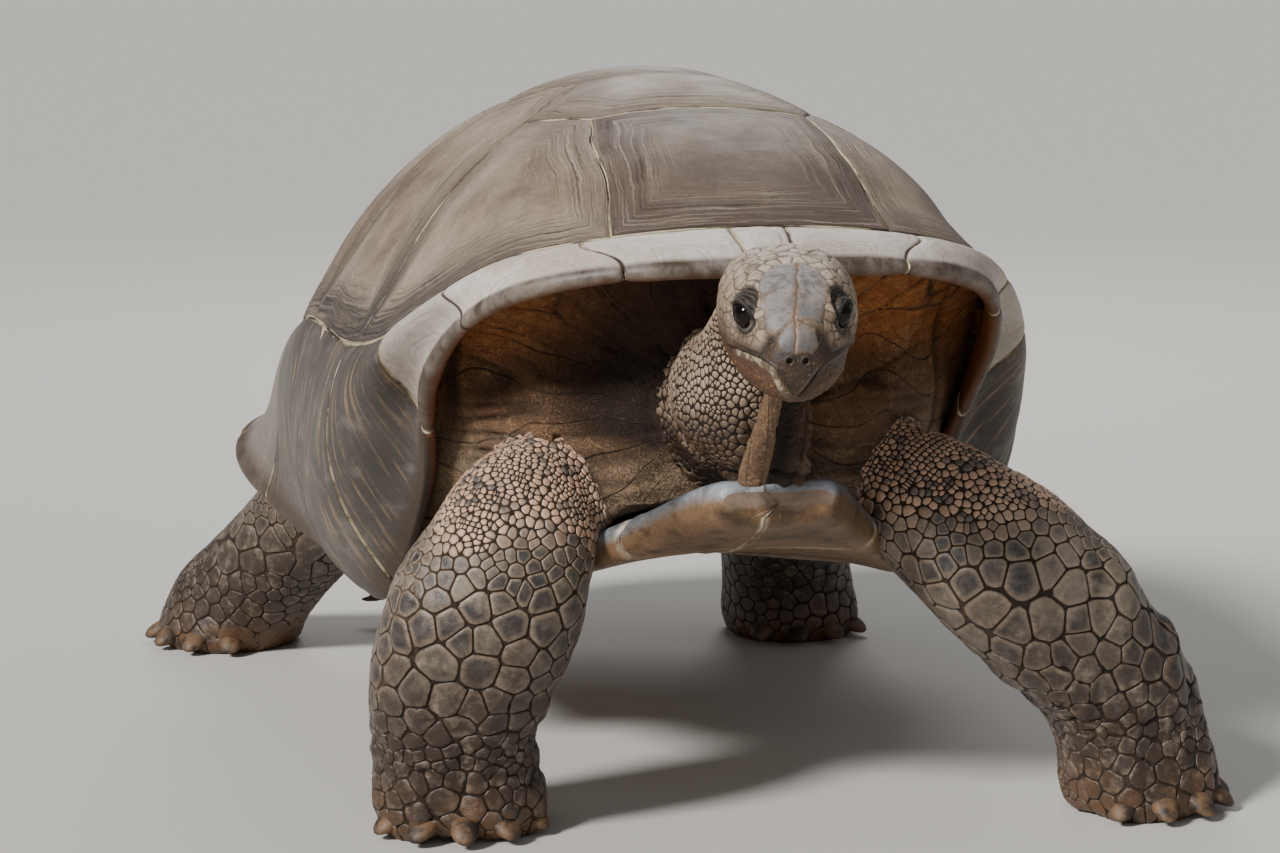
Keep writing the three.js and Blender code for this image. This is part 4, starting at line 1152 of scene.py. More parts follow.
def awayFromTube(points, rings):
    # distance from the skin of a tube, by the middles of its rings and their mean radii
    middle = rings.mean(1)
    radius = np.linalg.norm(rings - middle[:, None], axis=-1).mean(1)
    nearest = np.full(len(points), 1e9)
    for start in range(0, len(points), 8000):
        part = points[start:start + 8000]
        far = np.linalg.norm(part[:, None] - middle[None], axis=-1) - radius[None]
        nearest[start:start + 8000] = far.min(1)
    return nearest


def freeOfLimbs(points):
    # distance from the neck and the upper forelegs
    tubes = [neckRings()[::4], limbRings("foreleg_left")[:70:4], limbRings("foreleg_right")[:70:4]]
    return np.minimum.reduce([awayFromTube(points, rings) for rings in tubes])


def frontFolds(points, normals):
    # folds of the skin in the front opening. Creases lie where a stretched noise is zero:
    # depth * exp(-(noise(q) / width)^2), with q = (bearing * k, distance / length) round the
    # base of the neck, so that they converge on it; low down and at the sides they run level
    # and upright
    x, z = points[:, 0] - skinShape["neckBase"][0], points[:, 2] - skinShape["neckBase"][1]
    bearing, distance = np.arctan2(z, np.abs(x)), np.hypot(x, z)
    front = smoothStep(-205, -270, points[:, 1]) * smoothStep(0.4, 0.0, normals[:, 1])
    free = freeOfLimbs(points)
    clear = smoothStep(-4, 12, free)
    patchy = 0.6 + 0.4 * valueNoise(points, 45, 95)

    def creased(q, depth, width, seed):
        groove = bell(valueNoise(q, 1.0, seed), 1, 0, width)
        return depth * groove * patchy

    flat = 0 * x
    radial = sum(creased(np.stack([bearing * k + np.sign(x) * 40, distance / length, flat], -1), *groove)
                 for k, length, *groove in skinShape["creases"])
    size, depth, width, seed = skinShape["net"]
    radial = radial + creased(points / size, depth, width, seed)
    long, short, depth, width, seed = skinShape["bottomFolds"]
    level = creased(np.stack([x / long, (z + 0.12 * np.abs(x)) / short, flat], -1), depth, width, seed)
    short, long, depth, width, seed = skinShape["sideFolds"]
    upright = creased(np.stack([x / short, z / long, flat], -1), depth, width, seed)
    low = smoothStep(5, -35, z - 0.1 * np.abs(x))
    sides = smoothStep(195, 245, np.abs(x))
    depthIn = radial * (1 - low) * (1 - sides) + level * low * (1 - sides) + upright * sides
    # the loose skin under the throat hangs in upright folds
    middle, half = skinShape["throat"]
    throat = smoothStep(half + 8, half - 4, np.abs(points[:, 0] - middle))
    throat = throat * smoothStep(-478, -500, points[:, 1])
    throat = throat * smoothStep(448, 432, points[:, 2]) * smoothStep(0.3, 0.0, normals[:, 2])
    short, long, depth, width, seed = skinShape["throatFolds"]
    hanging = creased(np.stack([x / short, z / long, flat], -1), depth, width, seed) * throat
    recess = skinShape["recess"] * smoothStep(-10, 70, z) * smoothStep(0, 60, free)
    height, size = skinShape["lumps"]
    lumps = height * layeredNoise(points, size, 96, 2)
    folds = depthIn * clear * front + hanging
    move = -normals * (folds - lumps * clear * front)[:, None]
    move[:, 1] += recess * front
    return move, folds, np.maximum(front, throat)


# pairs are where a tone starts and is full
# the tone of the folds is painted crease shade, the rust tone is rust-orange skin brightened as painted
# light, and the dark tone beside the neck is a painted shadow
skinTone = dict(
    fullCrease=7, mostCrease=0.9, limb=(10, 0), shelter=(325, 400), rustAndLight=(430, 490), rustLean=0.1,
    paintedShadow=0.92, shadowNear=(190, 40), shadowAbove=(320, 350), shadowLean=0.25, shadowSide=(60, 10), fan=6, rounds=100,
)


def skinTones(points, creaseShade, front):
    # numbers per point for the skin's material: how deep its folds are, for painted crease shade, how
    # sheltered, how rusty, for rust colour brightened as painted light, how much painted shadow lies beside
    # the neck, and its bearing and distance round the base of the neck
    across, height = points[:, 0], points[:, 2]
    x, z = across - skinShape["neckBase"][0], height - skinShape["neckBase"][1]
    limb = np.minimum.reduce([awayFromTube(points, limbRings(name)[::5]) for name in limbs])
    # rust-orange skin high under the front edge, brightened as painted light
    rusty = smoothStep(*skinTone["rustAndLight"], height + skinTone["rustLean"] * np.abs(across))
    # a painted shadow beside the neck, on the animal's right, in the upper part of the front opening under
    # the shell's edge
    hollow = smoothStep(*skinTone["shadowNear"], awayFromTube(points, neckRings()[::5]))
    hollow *= smoothStep(*skinTone["shadowAbove"], height + skinTone["shadowLean"] * across)
    hollow *= smoothStep(*skinTone["shadowSide"], across)
    return dict(creaseShade=np.clip(creaseShade / skinTone["fullCrease"], 0, skinTone["mostCrease"]),
                limb=smoothStep(*skinTone["limb"], limb),
                shelter=front * smoothStep(*skinTone["shelter"], height),
                rustAndLight=front * rusty, paintedShadow=skinTone["paintedShadow"] * front * hollow,
                around=np.arctan2(z, np.abs(x)) * skinTone["fan"] + np.sign(x) * 40,
                outward=np.hypot(x, z) / skinTone["rounds"])


def buildSkin(material):
    # trunk, neck, throat, tail and legs merged by a voxel remesh, then folded
    tail = pathRings(tailStations, 60, 48, 2.0, 2.0)
    bodies = [nodeBody("trunk"), closedTube(neckRings()), closedTube(tail)]
    bodies += [closedTube(limbRings(name)) for name in limbs]
    bodies.append(closedTube(pathRings(throatStations, 40, 40, 3.0, 0.0, slopes=True)))
    points, quads, triangles = joined(bodies)
    rough = makePiece("skin_rough", points, quads, triangles, material)
    remesh = rough.modifiers.new("one body", "REMESH")
    remesh.mode = "VOXEL"
    remesh.voxel_size = skinShape["voxel"] * mm
    soften = rough.modifiers.new("soften", "SMOOTH")
    soften.factor = 0.5
    soften.iterations = skinShape["soften"]
    graph = bpy.context.evaluated_depsgraph_get()
    mesh = bpy.data.meshes.new_from_object(rough.evaluated_get(graph))
    bpy.data.objects.remove(rough)
    refine(mesh)
    points = readVectors(mesh.vertices, "co") / mm - shift
    move, creaseShade, front = frontFolds(points, readVectors(mesh.vertex_normals, "vector"))
    moved = points + move
    moved[:, 2] = np.maximum(moved[:, 2], 0)
    mesh.vertices.foreach_set("co", ((moved + shift) * mm).ravel())
    writeValues(mesh, skinTones(points, creaseShade, front))
    mesh.update()
    piece = placePiece("skin", mesh)
    for name in ("head", "lower_jaw", "neck", "trunk", "tail", *limbs):
        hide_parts(name)
    return piece


def refine(mesh):
    # the skin of the front opening gets a finer grid than the rest
    count = len(mesh.polygons)
    centres = readVectors(mesh.polygons, "center") / mm - shift
    normals = readVectors(mesh.polygons, "normal")
    ahead, above, facing, clear = skinShape["fine"]
    chosen = np.flatnonzero((centres[:, 1] < ahead) & (centres[:, 2] > above) & (normals[:, 1] < facing))
    chosen = chosen[freeOfLimbs(centres[chosen]) > clear]
    work = bmesh.new()
    work.from_mesh(mesh)
    work.faces.ensure_lookup_table()
    edges = {edge for index in chosen for edge in work.faces[index].edges}
    bmesh.ops.subdivide_edges(work, edges=list(edges), cuts=skinShape["cuts"], use_grid_fill=True)
    work.to_mesh(mesh)
    work.free()
    print("skin faces", len(mesh.polygons), "made from", count, "of which refined", len(chosen))


coats = dict(
    gap=0.6, bury=1.4, shoulder=2.2, sharp=20, away=12.0, bakePatch=0.0015, large=11.0,
    weight=0.16, fine=(9, ((0.0, 0.5), (0.55,))), coarse=(22, ((0.0, 0.4, 1.4), (0.35, 0.72))),
)


def tubeField(rings):
    # points, normals and areas of a tube's own grid
    steps = np.gradient(rings, axis=0)
    sideways = (np.roll(rings, -1, 1) - np.roll(rings, 1, 1)) / 2
    cross = np.cross(sideways, steps)
    area = np.linalg.norm(cross, axis=-1)
    normal = unit(cross)
    middle = rings.mean(1, keepdims=True)
    if (normal * (rings - middle)).sum() < 0:
        normal = -normal
    return rings.reshape(-1, 3), normal.reshape(-1, 3), area.ravel()


def settle(points, normals, area, size, seed, rounds=5):
    # sites spread by size, then moved to the middle of the points nearest to each
    rng = np.random.default_rng(seed)
    weight = area / size ** 2
    count = int(weight.sum() * 1.05)
    chosen = rng.choice(len(points), count, replace=False, p=weight / weight.sum())
    sample = rng.choice(len(points), min(len(points), count * 26), replace=False)
    sites = points[chosen]
    siteSize = size[chosen]
    for _ in range(rounds):
        owner = np.zeros(len(sample), int)
        for start in range(0, len(sample), 6000):
            part = points[sample[start:start + 6000]]
            far = (part ** 2).sum(1)[:, None] + (sites ** 2).sum(1)[None] - 2 * part @ sites.T
            far = far / siteSize ** 2
            owner[start:start + 6000] = far.argmin(1)
        load = weight[sample]
        total = np.bincount(owner, load, count)
        keep = total > 0
        for axis in range(3):
            mean = np.bincount(owner, load * points[sample, axis], count)
            sites[keep, axis] = mean[keep] / total[keep]
        near = np.zeros(count, int)
        for start in range(0, count, 500):
            part = sites[start:start + 500]
            far = (part ** 2).sum(1)[:, None] + (points ** 2).sum(1)[None] - 2 * part @ points.T
            near[start:start + 500] = far.argmin(1)
        siteSize = size[near]
    return points[near], normals[near], siteSize, near


def plateOutlines(sites, normals, size, gap, angles, sharp):
    # r(turn) = (sum_j (cos(turn - turn_j) / b_j)^sharp)^(-1/sharp), a polygon with rounded corners,
    # where b_j = d / 2 + weight * (s^2 - s_j^2) / (2 d) is the distance to the wall of a power
    # diagram between this site and neighbour j
    count = len(sites)
    reference = np.where(np.abs(normals[:, 2:]) < 0.8, [[0, 0, 1.0]], [[0, 1.0, 0]])
    east = unit(np.cross(reference, normals))
    north = np.cross(normals, east)
    turn = turnSteps(angles)
    radius = np.zeros((count, angles))
    for start in range(0, count, 500):
        block = slice(start, min(start + 500, count))
        away = sites[None] - sites[block, None]
        far = np.linalg.norm(away, axis=-1)
        scaled = far / (size[None] + size[block, None])
        scaled[far < 1e-6] = 1e9
        facing = (normals[None] * normals[block, None]).sum(-1)
        scaled[facing < -0.2] = 1e9
        near = np.argpartition(scaled, 12, axis=1)[:, :12]
        pick = np.take_along_axis(away, near[..., None], 1)
        distance = np.linalg.norm(pick, axis=-1)
        share = 0.5 + coats["weight"] * (size[block, None] ** 2 - size[near] ** 2) / (2 * distance ** 2)
        share = np.clip(share, 0.2, 0.8)
        wall = np.maximum(distance * share - gap / 2, 0.4)
        bearing = np.arctan2((pick * north[block, None]).sum(-1), (pick * east[block, None]).sum(-1))
        lean = np.maximum(np.cos(turn[None, None] - bearing[..., None]), 0) / wall[..., None]
        radius[block] = (lean ** sharp).sum(1) ** (-1 / sharp)
    radius = np.minimum(radius, size[:, None] * 1.1)
    return east, north, turn, radius


def onSurface(points, target, lift=0.0):
    # the nearest places on another piece, worked out by a Shrinkwrap modifier
    mesh = bpy.data.meshes.new("probe")
    mesh.vertices.add(len(points))
    mesh.vertices.foreach_set("co", ((points + shift) * mm).ravel())
    probe = bpy.data.objects.new("probe", mesh)
    bpy.context.scene.collection.objects.link(probe)
    wrap = probe.modifiers.new("wrap", "SHRINKWRAP")
    wrap.target = target
    wrap.wrap_method = "NEAREST_SURFACEPOINT"
    wrap.wrap_mode = "ABOVE_SURFACE"
    wrap.offset = lift * mm
    graph = bpy.context.evaluated_depsgraph_get()
    found = probe.evaluated_get(graph).to_mesh()
    places = readVectors(found.vertices, "co")
    bpy.data.objects.remove(probe)
    bpy.data.meshes.remove(mesh)
    return places / mm - shift


def plateMeshes(sites, size, outlines, target, insets, rise, seed):
    # each plate: its outline drawn in by a few distances d, laid on the skin with a flat top and
    # a round shoulder, h(d) = rise * sqrt(1 - (1 - d / shoulder)^2), and its foot buried
    east, north, turn, radius = outlines
    count, angles = radius.shape
    rng = np.random.default_rng(seed)
    mean = np.maximum(radius.mean(1), 2.2)[:, None]
    edges, shares = insets
    inner = np.array(shares)[None] * (1 - edges[-1] / mean)
    t = np.concatenate([inner, 1 - np.array(edges[::-1])[None] / mean], 1)
    rings = t.shape[1]
    place = sites[:, None, None] + (radius[:, None, :] * t[..., None])[..., None] * (
        np.cos(turn)[None, None, :, None] * east[:, None, None]
        + np.sin(turn)[None, None, :, None] * north[:, None, None])
    depth = (1 - t) * mean
    shoulder = coats["shoulder"]
    height = rise[:, None] * np.sqrt(1 - (1 - np.minimum(depth / shoulder, 1)) ** 2)
    height *= np.where(mean > 6, 1, 0.8)
    height = height + 0.2 * (1 - t ** 2) * mean / 12
    height[:, -1] = -coats["bury"]
    every = np.concatenate([sites[:, None], place.reshape(count, -1, 3)], 1).reshape(-1, 3)
    middle = rise * np.where(mean[:, 0] > 6, 1, 0.8) + 0.2 * mean[:, 0] / 12
    heights = np.concatenate([middle[:, None], np.repeat(height, angles, 1)], 1).ravel()
    ground = onSurface(every, target)
    above = onSurface(every, target, 2.0)
    grain = 0.12 * layeredNoise(every, 2.6, seed, 2)
    points = ground + unit(above - ground) * (heights + grain)[:, None]
    points[:, 2] = np.maximum(points[:, 2], 0)
    per = 1 + rings * angles
    offset = (np.arange(count) * per)[:, None, None]
    quads = (gridQuads(rings, angles, wrapColumns=True, start=1)[None, :, ::-1] + offset).reshape(-1, 4)
    triangles = (fan(0, np.arange(angles) + 1)[None] + offset).reshape(-1, 3)
    ray = np.stack([np.cos(turn), np.sin(turn)], -1)
    rays = np.concatenate([[[0, 0]], np.tile(ray, (rings, 1))])
    rim = np.concatenate([np.zeros((count, 1)), np.repeat(t, angles, 1)], 1)
    patch = rim[..., None] * rays[None]
    values = dict(rim=rim.ravel(), cell=np.repeat(rng.random(count), per), size=np.repeat(size, per),
                  rayX=np.tile(rays[:, 0], count), rayY=np.tile(rays[:, 1], count))
    return points, quads, triangles, values, patch


def coat(name, rings, sizeOf, target, material, node, seed, keepIf, riseOf, squeeze=(1, 1, 1)):
    # plates over a tube, small ones and large ones with their own outlines, laid on the skin
    points, normals, area = tubeField(rings)
    size = sizeOf(points, normals)
    index = np.flatnonzero(keepIf(points, normals))
    sites, siteNormals, siteSize, near = settle(points[index] * squeeze, normals[index], area[index],
                                                size[index], seed)
    sites = sites / squeeze
    near = index[near]
    steps, sides = rings.shape[:2]
    root = np.stack([(near % sides) / sides, (near // sides) / steps], -1)
    onSkin = np.linalg.norm(onSurface(sites, target) - sites, axis=1) < coats["away"]
    rise = riseOf(siteSize)
    parts = []
    start = 0
    for big, (angles, insets) in ((False, coats["fine"]), (True, coats["coarse"])):
        chosen = ((siteSize > coats["large"]) == big) & onSkin
        if not chosen.any():
            continue
        east, north, turn, radius = plateOutlines(sites, siteNormals, siteSize, coats["gap"], angles,
                                                  coats["sharp"])
        made = plateMeshes(sites[chosen], siteSize[chosen],
                           (east[chosen], north[chosen], turn, radius[chosen]), target, insets, rise[chosen],
                           seed + 5)
        platePoints, quads, triangles, values, patch = made
        bakeMap = (root[chosen][:, None] + patch * coats["bakePatch"]).reshape(-1, 2)
        parts.append((platePoints, quads + start, triangles + start, values, bakeMap))
        start += len(platePoints)
    points, quads, triangles, bakeMap = (np.concatenate([part[i] for part in parts]) for i in (0, 1, 2, 4))
    values = {key: np.concatenate([part[3][key] for part in parts]) for key in parts[0][3]}
    piece = makePiece(name, points, quads, triangles, material, values, bakeMap)
    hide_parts(node)
    print(name, "plates", len(sites), "triangles", len(quads) * 2 + len(triangles))
    return piece


def legSize(name):
    # grains on the upper arm, rows of small plates, then large plates in front and outside
    limb = limbs[name]
    heading = unit(np.array(limb["heading"], float))
    top = limb["stations"][2][2]

    def size(points, normals):
        z = points[:, 2]
        outward = normals[:, 0] * np.sign(limb["stations"][0][0])
        front = smoothStep(-0.45, 0.3, np.maximum(normals @ heading, outward * 0.9))
        large = np.interp(z, [0, 30, 62, 84, 112, 150, top - 70, top - 25, top + 15],
                          [14, 22, 20, 15, 26, 33, 31, 15, 6.5])
        small = np.interp(z, [0, 60, 150, top - 40, top + 15], [11, 11, 13, 9, 6.5])
        base = small + (large - small) * front
        return base * (1 + 0.22 * valueNoise(points, 42, 90) + 0.10 * valueNoise(points, 15, 92))
    return size


def neckSize(points, _):
    # fine grains that differ in size from patch to patch, larger low down
    return (6.6 + 1.6 * valueNoise(points, 30, 91) + 1.4 * valueNoise(points, 9, 93)
            + 2.0 * smoothStep(430, 380, points[:, 2]))


def buildCoats(skin, legFinish, neckFinish):
    # one for each leg, one for the bare part of the neck and one for the tail
    throat = pathRings(throatStations, 40, 40, 3.0, 0.0, slopes=True)[::2]
    for i, name in enumerate(limbs):
        top = limbs[name]["stations"][1][2] + (80 if "fore" in name else 10)
        coat(name + "_scales", limbRings(name), legSize(name), skin, legFinish, name, 100 + i,
             lambda p, n, top=top: (p[:, 2] > 4) & (p[:, 2] < top), lambda s: 0.75 + s * 0.022)
    coat("neck_scales", neckRings(), neckSize, skin, neckFinish, "neck", 120,
         lambda p, n: (p[:, 1] < -408) & (awayFromTube(p, throat) > 3), lambda s: 0.35 + s * 0.05,
         squeeze=(1.5, 1, 0.55))
    tail = pathRings(tailStations, 200, 90, 2.0, 2.0)
    coat("tail_scales", tail, lambda p, n: 9 + 0 * p[:, 0], skin, legFinish,
         "tail", 121, lambda p, n: p[:, 1] > 430, lambda s: 0.8 + 0 * s)


wattle = dict(
    stations=[(-4, -581, 462, 9, 7), (-5, -584, 440, 8, 7), (-9, -573, 408, 10, 7.5), (-13, -561, 380, 13, 8),
              (-16, -551, 359, 13.5, 8), (-17, -548, 350, 13.5, 8)],
    steps=130, sides=52, power=2.4, grit=(0.9, 3.4), lumps=(0.8, 16), shelter=0.25, rustAndLight=0.05,
    across=12, up=60,
)


def buildWattle(material):
    # a loose strip of skin in front of the throat, flat and gritty
    rings = pathRings(wattle["stations"], wattle["steps"], wattle["sides"], wattle["power"], 0.0)
    middle = rings.mean(1, keepdims=True)
    (grit, gritSize), (lump, lumpSize) = wattle["grit"], wattle["lumps"]
    bump = grit * layeredNoise(rings, gritSize, 110, 2) + lump * layeredNoise(rings, lumpSize, 120, 2)
    points, quads, triangles = closedTube(rings + unit(rings - middle) * bump[..., None])
    spare = np.zeros(len(points))
    values = dict(creaseShade=spare, shelter=spare + wattle["shelter"], paintedShadow=spare, limb=spare,
                  rustAndLight=spare + wattle["rustAndLight"], around=points[:, 0] / wattle["across"],
                  outward=points[:, 2] / wattle["up"])
    piece = makePiece("throat_wattle", points, quads, triangles, material, values)
    recalculate(piece)
    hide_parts("neck")


# wide and tall are the size at the root and the power of the taper
clawShape = dict(
    steps=16, sides=24, inside=8, length=33, droop=1.8, tip=9, wide=(14.5, 3.0), tall=(10.5, 2.6),
    taper=0.985, ground=0.2,
)


def buildClaws(material):
    # blunt horny claws: an oval bent down by t^1.8, its half width and half height
    # root * sqrt(1 - taper * t^power) towards the tip
    turn = turnSteps(clawShape["sides"])
    t = np.linspace(0, 1, clawShape["steps"])[:, None]
    wide, tall = (size * np.sqrt(1 - clawShape["taper"] * t ** power)
                  for size, power in (clawShape["wide"], clawShape["tall"]))
    lift = np.array([0, 0, 1.0])
    for name, limb in limbs.items():
        height, reach, spreadAngles = limb["claws"]
        x, y = limb["stations"][-1][:2]
        heading = unit(np.array(limb["heading"], float))
        bodies = []
        for angle in np.radians(spreadAngles):
            out = np.array([heading[0] * math.cos(angle) - heading[1] * math.sin(angle),
                            heading[0] * math.sin(angle) + heading[1] * math.cos(angle), 0])
            side = np.array([-out[1], out[0], 0])
            root = np.array([x, y, height]) + out * (reach - clawShape["inside"])
            drop = t ** clawShape["droop"] * (height - clawShape["tip"])
            centre = root + out * (t * clawShape["length"]) - lift * drop
            ring = (centre[:, None] + (np.cos(turn) * wide)[..., None] * side
                    + (np.sin(turn) * tall)[..., None] * lift)
            ring[..., 2] = np.maximum(ring[..., 2], clawShape["ground"])
            bodies.append(closedTube(ring))
        points, quads, triangles = joined(bodies)
        piece = makePiece(name + "_claws", points, quads, triangles, material)
        recalculate(piece)
        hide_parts(name)


def attributes(tree, *names):
    # the numbers per point that writeValues stored
    return [addNode(tree, "Attribute", {}, "Fac", attribute_name=name) for name in names]


def noises(tree, place, *settings):
    # noise textures given as scale, detail and roughness
    return [addNode(tree, "TexNoise",
                    {"Vector": place, "Scale": scale, "Detail": detail, "Roughness": rough}, "Fac")
            for scale, detail, rough in settings]


def ranged(tree, value, low, high, first=0.0, last=1.0):
    # a value taken from low..high to first..last and held at both ends
    span = {"Value": value, "From Min": low, "From Max": high, "To Min": first, "To Max": last}
    return addNode(tree, "MapRange", span, "Result")


def product(tree, *factors):
    # factors multiplied: masks, numbers, and ranges given as (value, low, high, first, last)
    factors = [ranged(tree, *factor) if isinstance(factor, tuple) else factor for factor in factors]
    result = factors[0]
    for factor in factors[1:]:
        result = addNode(tree, "Math", {0: result, 1: factor}, "Value", operation="MULTIPLY")
    return result


def finishSurface(tree, surface, colour, speck, height, distance, strength):
    # fine specks over the colour, and the fine height as bump
    final = addNode(tree, "VectorMath", {0: colour, "Scale": speck}, "Vector", operation="SCALE")
    tree.links.new(final, surface.inputs["Base Color"])
    bump = addNode(tree, "Bump", {"Height": height, "Strength": strength, "Distance": distance}, "Normal")
    tree.links.new(bump, surface.inputs["Normal"])


def weatheredHorn(name, tone):
    # keratin scutes weathered by years of sun and mud: worn patches over brown-grey horn, bands
    # of light and dark growth rings along the sutures, dark stains low down, cream new horn in
    # the sutures
    material, tree, surface = newMaterial(name, 0.55, 0.4)
    place = addNode(tree, "TexCoord", {}, "Object")
    growth, edge, shade = attributes(tree, "growth", "edge", "shade")
    broad, middle, grain = noises(tree, place, (5.0, 5.0, 0.6), (22.0, 4.0, 0.6), (170.0, 4.0, 0.7))
    # rings: noise that changes fast across them and slowly along them
    slow = addNode(tree, "VectorMath", {0: place, 1: (6.0, 6.0, 6.0)}, "Vector", operation="MULTIPLY")
    across = addNode(tree, "Math", {0: growth, 1: 0.36, 2: product(tree, middle, 5.0)}, "Value",
                     operation="MULTIPLY_ADD")
    ringPlace = addNode(tree, "CombineXYZ", {"X": addNode(tree, "SeparateXYZ", {"Vector": slow}, "X"),
                                             "Y": addNode(tree, "SeparateXYZ", {"Vector": slow}, "Y"),
                                             "Z": across}, "Vector")
    rings, = noises(tree, ringPlace, (1.0, 5.0, 0.72))
    band = ranged(tree, edge, 85.0, 30.0)
    low = ranged(tree, addNode(tree, "SeparateXYZ", {"Vector": place}, "Z"), 0.62, 0.46)
    stain = product(tree, (broad, 0.38, 0.54, 0.5, 1.0), (edge, 60.0, 25.0), low)
    colour = paintOver(tree, tone["horn"], [
        ((middle, 0.35, 0.65), tone["horn2"]),
        ([(broad, 0.42, 0.66), (edge, 5.0, 50.0, 0.2, 0.9)], tone["worn"]),
        ([shade, (broad, 0.3, 0.6, 1.0, 0.4)], tone["dull"]),
        ([(rings, 0.52, 0.62), band, (middle, 0.36, 0.6, 0.15, 1.0)], tone["ring"]),
        ([(rings, 0.46, 0.36), band, (middle, 0.2, 0.7, 0.3, 0.8)], tone["pale"]),
        ([stain, (rings, 0.35, 0.6, 0.45, 0.95)], tone["stain"]),
        ((edge, 3.4, 0.4, 0.0, 0.75), "#33271d"),
        ([(edge, 1.5, 0.9), (middle, 0.42, 0.56)], "#cdbf9f")])
    speck = ranged(tree, grain, 0.3, 0.7, 0.84, 1.14)
    rough = ranged(tree, middle, 0.3, 0.7, 0.44, 0.66)
    tree.links.new(rough, surface.inputs["Roughness"])
    height = addNode(tree, "Math", {0: rings, 1: band, 2: product(tree, grain, 0.25)},
                     "Value", operation="MULTIPLY_ADD")
    finishSurface(tree, surface, colour, speck, height, 0.0016, 0.5)
    return material


def rimHornFinish(name):
    # the marginals: pale and worn smooth in front, slate with tan streaks on the bridge, brown
    # on the worn lip and rust-brown beneath it
    material, tree, surface = newMaterial(name, 0.5, 0.45)
    place = addNode(tree, "TexCoord", {}, "Object")
    growth, edge, tone, lip, cross, down = attributes(tree, "growth", "edge", "tone", "lip", "cross", "down")
    broad, middle, grain = noises(tree, place, (7.0, 5.0, 0.6), (28.0, 4.0, 0.65), (170.0, 4.0, 0.7))
    streakPlace = addNode(tree, "CombineXYZ", {
        "X": addNode(tree, "Math", {0: cross, 1: 0.16}, "Value", operation="MULTIPLY"),
        "Y": addNode(tree, "Math", {0: down, 1: 0.012}, "Value", operation="MULTIPLY"),
        "Z": ranged(tree, tone, 0.0, 1.0, 0.0, 9.0)}, "Vector")
    streaks, = noises(tree, streakPlace, (1.0, 4.0, 0.6))
    ringPlace = addNode(tree, "Math", {0: growth, 1: 0.3}, "Value", operation="MULTIPLY")
    rings = addNode(tree, "TexNoise", {"W": ringPlace, "Scale": 1.0, "Detail": 4.0, "Roughness": 0.7}, "Fac",
                    noise_dimensions="1D")
    bright = paintOver(tree, "#b3a598", [
        ((broad, 0.38, 0.62), "#cfc5ba"), ([(middle, 0.5, 0.68), 0.6], "#9a8672"),
        ([(rings, 0.55, 0.7), 0.45], "#857666")])
    dark = paintOver(tree, "#332d29", [
        ((broad, 0.38, 0.62), "#4a443f"), ([(streaks, 0.54, 0.68), 0.8], "#8a7054"),
        ([(streaks, 0.42, 0.32), 0.7], "#393431"), ([(middle, 0.56, 0.7), 0.35], "#8b857d")])
    colour = paintOver(tree, bright, [
        (tone, dark),
        ([(lip, 0.88, 0.97), (middle, 0.3, 0.6, 0.6, 1.0)], "#43352a"),
        ((lip, 1.08, 1.2), "#6b3f1f"),
        ((lip, 1.3, 1.7), "#8a4f22"),
        ((edge, 2.6, 0.4, 0.0, 0.75), "#33271d"),
        ([(edge, 1.5, 0.9), (middle, 0.45, 0.58)], "#c3b391")])
    speck = ranged(tree, grain, 0.3, 0.7, 0.86, 1.12)
    height = product(tree, addNode(tree, "Math", {0: streaks, 1: grain}, "Value"), 0.5)
    finishSurface(tree, surface, colour, speck, height, 0.0012, 0.45)
    return material


def bellyHornFinish(name):
    # the plastron: slate and a little blue where the front edge is rubbed, brown in front and
    # below, with cream new horn along its sutures
    material, tree, surface = newMaterial(name, 0.42, 0.5)
    place = addNode(tree, "TexCoord", {}, "Object")
    edge, top, front = attributes(tree, "edge", "top", "front")
    broad, middle, grain, fine = noises(tree, place, (14.0, 5.0, 0.6), (45.0, 4.0, 0.6), (220.0, 4.0, 0.7),
                                        (110.0, 3.0, 0.6))
    under = paintOver(tree, "#5c452f", [
        ((broad, 0.38, 0.62), "#7d6147"), ([(middle, 0.52, 0.66), 0.7], "#3a2819")])
    rubbed = paintOver(tree, "#55575a", [
        ((broad, 0.4, 0.62), "#8c9094"), ([(middle, 0.52, 0.68), 0.6], "#38322b")])
    band = addNode(tree, "SeparateXYZ", {"Vector": place}, "Z")
    face = paintOver(tree, "#4d3722", [
        ((middle, 0.4, 0.62), "#7b5c3c"),
        ([(broad, 0.5, 0.62), 0.6], "#33230f"),
        ([(band, 0.307, 0.298), 0.6], "#4a2d17"),
        ([(band, 0.299, 0.294), (fine, 0.4, 0.6, 0.4, 1.0), 0.8], "#8c6f4c")])
    level = addNode(tree, "Math", {0: middle, 1: -0.02, 2: band}, "Value", operation="MULTIPLY_ADD")
    colour = paintOver(tree, under, [
        ((top, 0.45, 0.75), rubbed),
        ([front, (level, 0.317, 0.311)], face),
        ([(edge, 5.0, 1.5), (middle, 0.4, 0.55)], "#b3a284"),
        ((edge, 1.6, 0.4, 0.0, 0.8), "#2b2118")])
    speck = ranged(tree, grain, 0.3, 0.7, 0.8, 1.18)
    relief = addNode(tree, "Math", {0: middle, 1: grain}, "Value")
    finishSurface(tree, surface, colour, speck, relief, 0.0012, 0.5)
    return material


def sutureBone():
    # the pale edge of bone and new horn in the sutures, half filled with dirt
    material, tree, surface = newMaterial("suture bone", 0.75)
    place = addNode(tree, "TexCoord", {}, "Object")
    noise, = noises(tree, place, (14.0, 4.0, 0.5))
    colour = paintOver(tree, "#2c1e13", [((noise, 0.45, 0.6), "#a8977a")])
    tree.links.new(colour, surface.inputs["Base Color"])
    return material


def plainFloor():
    # a matt, pale ground that takes soft shadows
    material, _, surface = newMaterial("pale studio floor", 0.8, 0.2)
    surface.inputs["Base Color"].default_value = linearColour("#c9c5be")
    return material


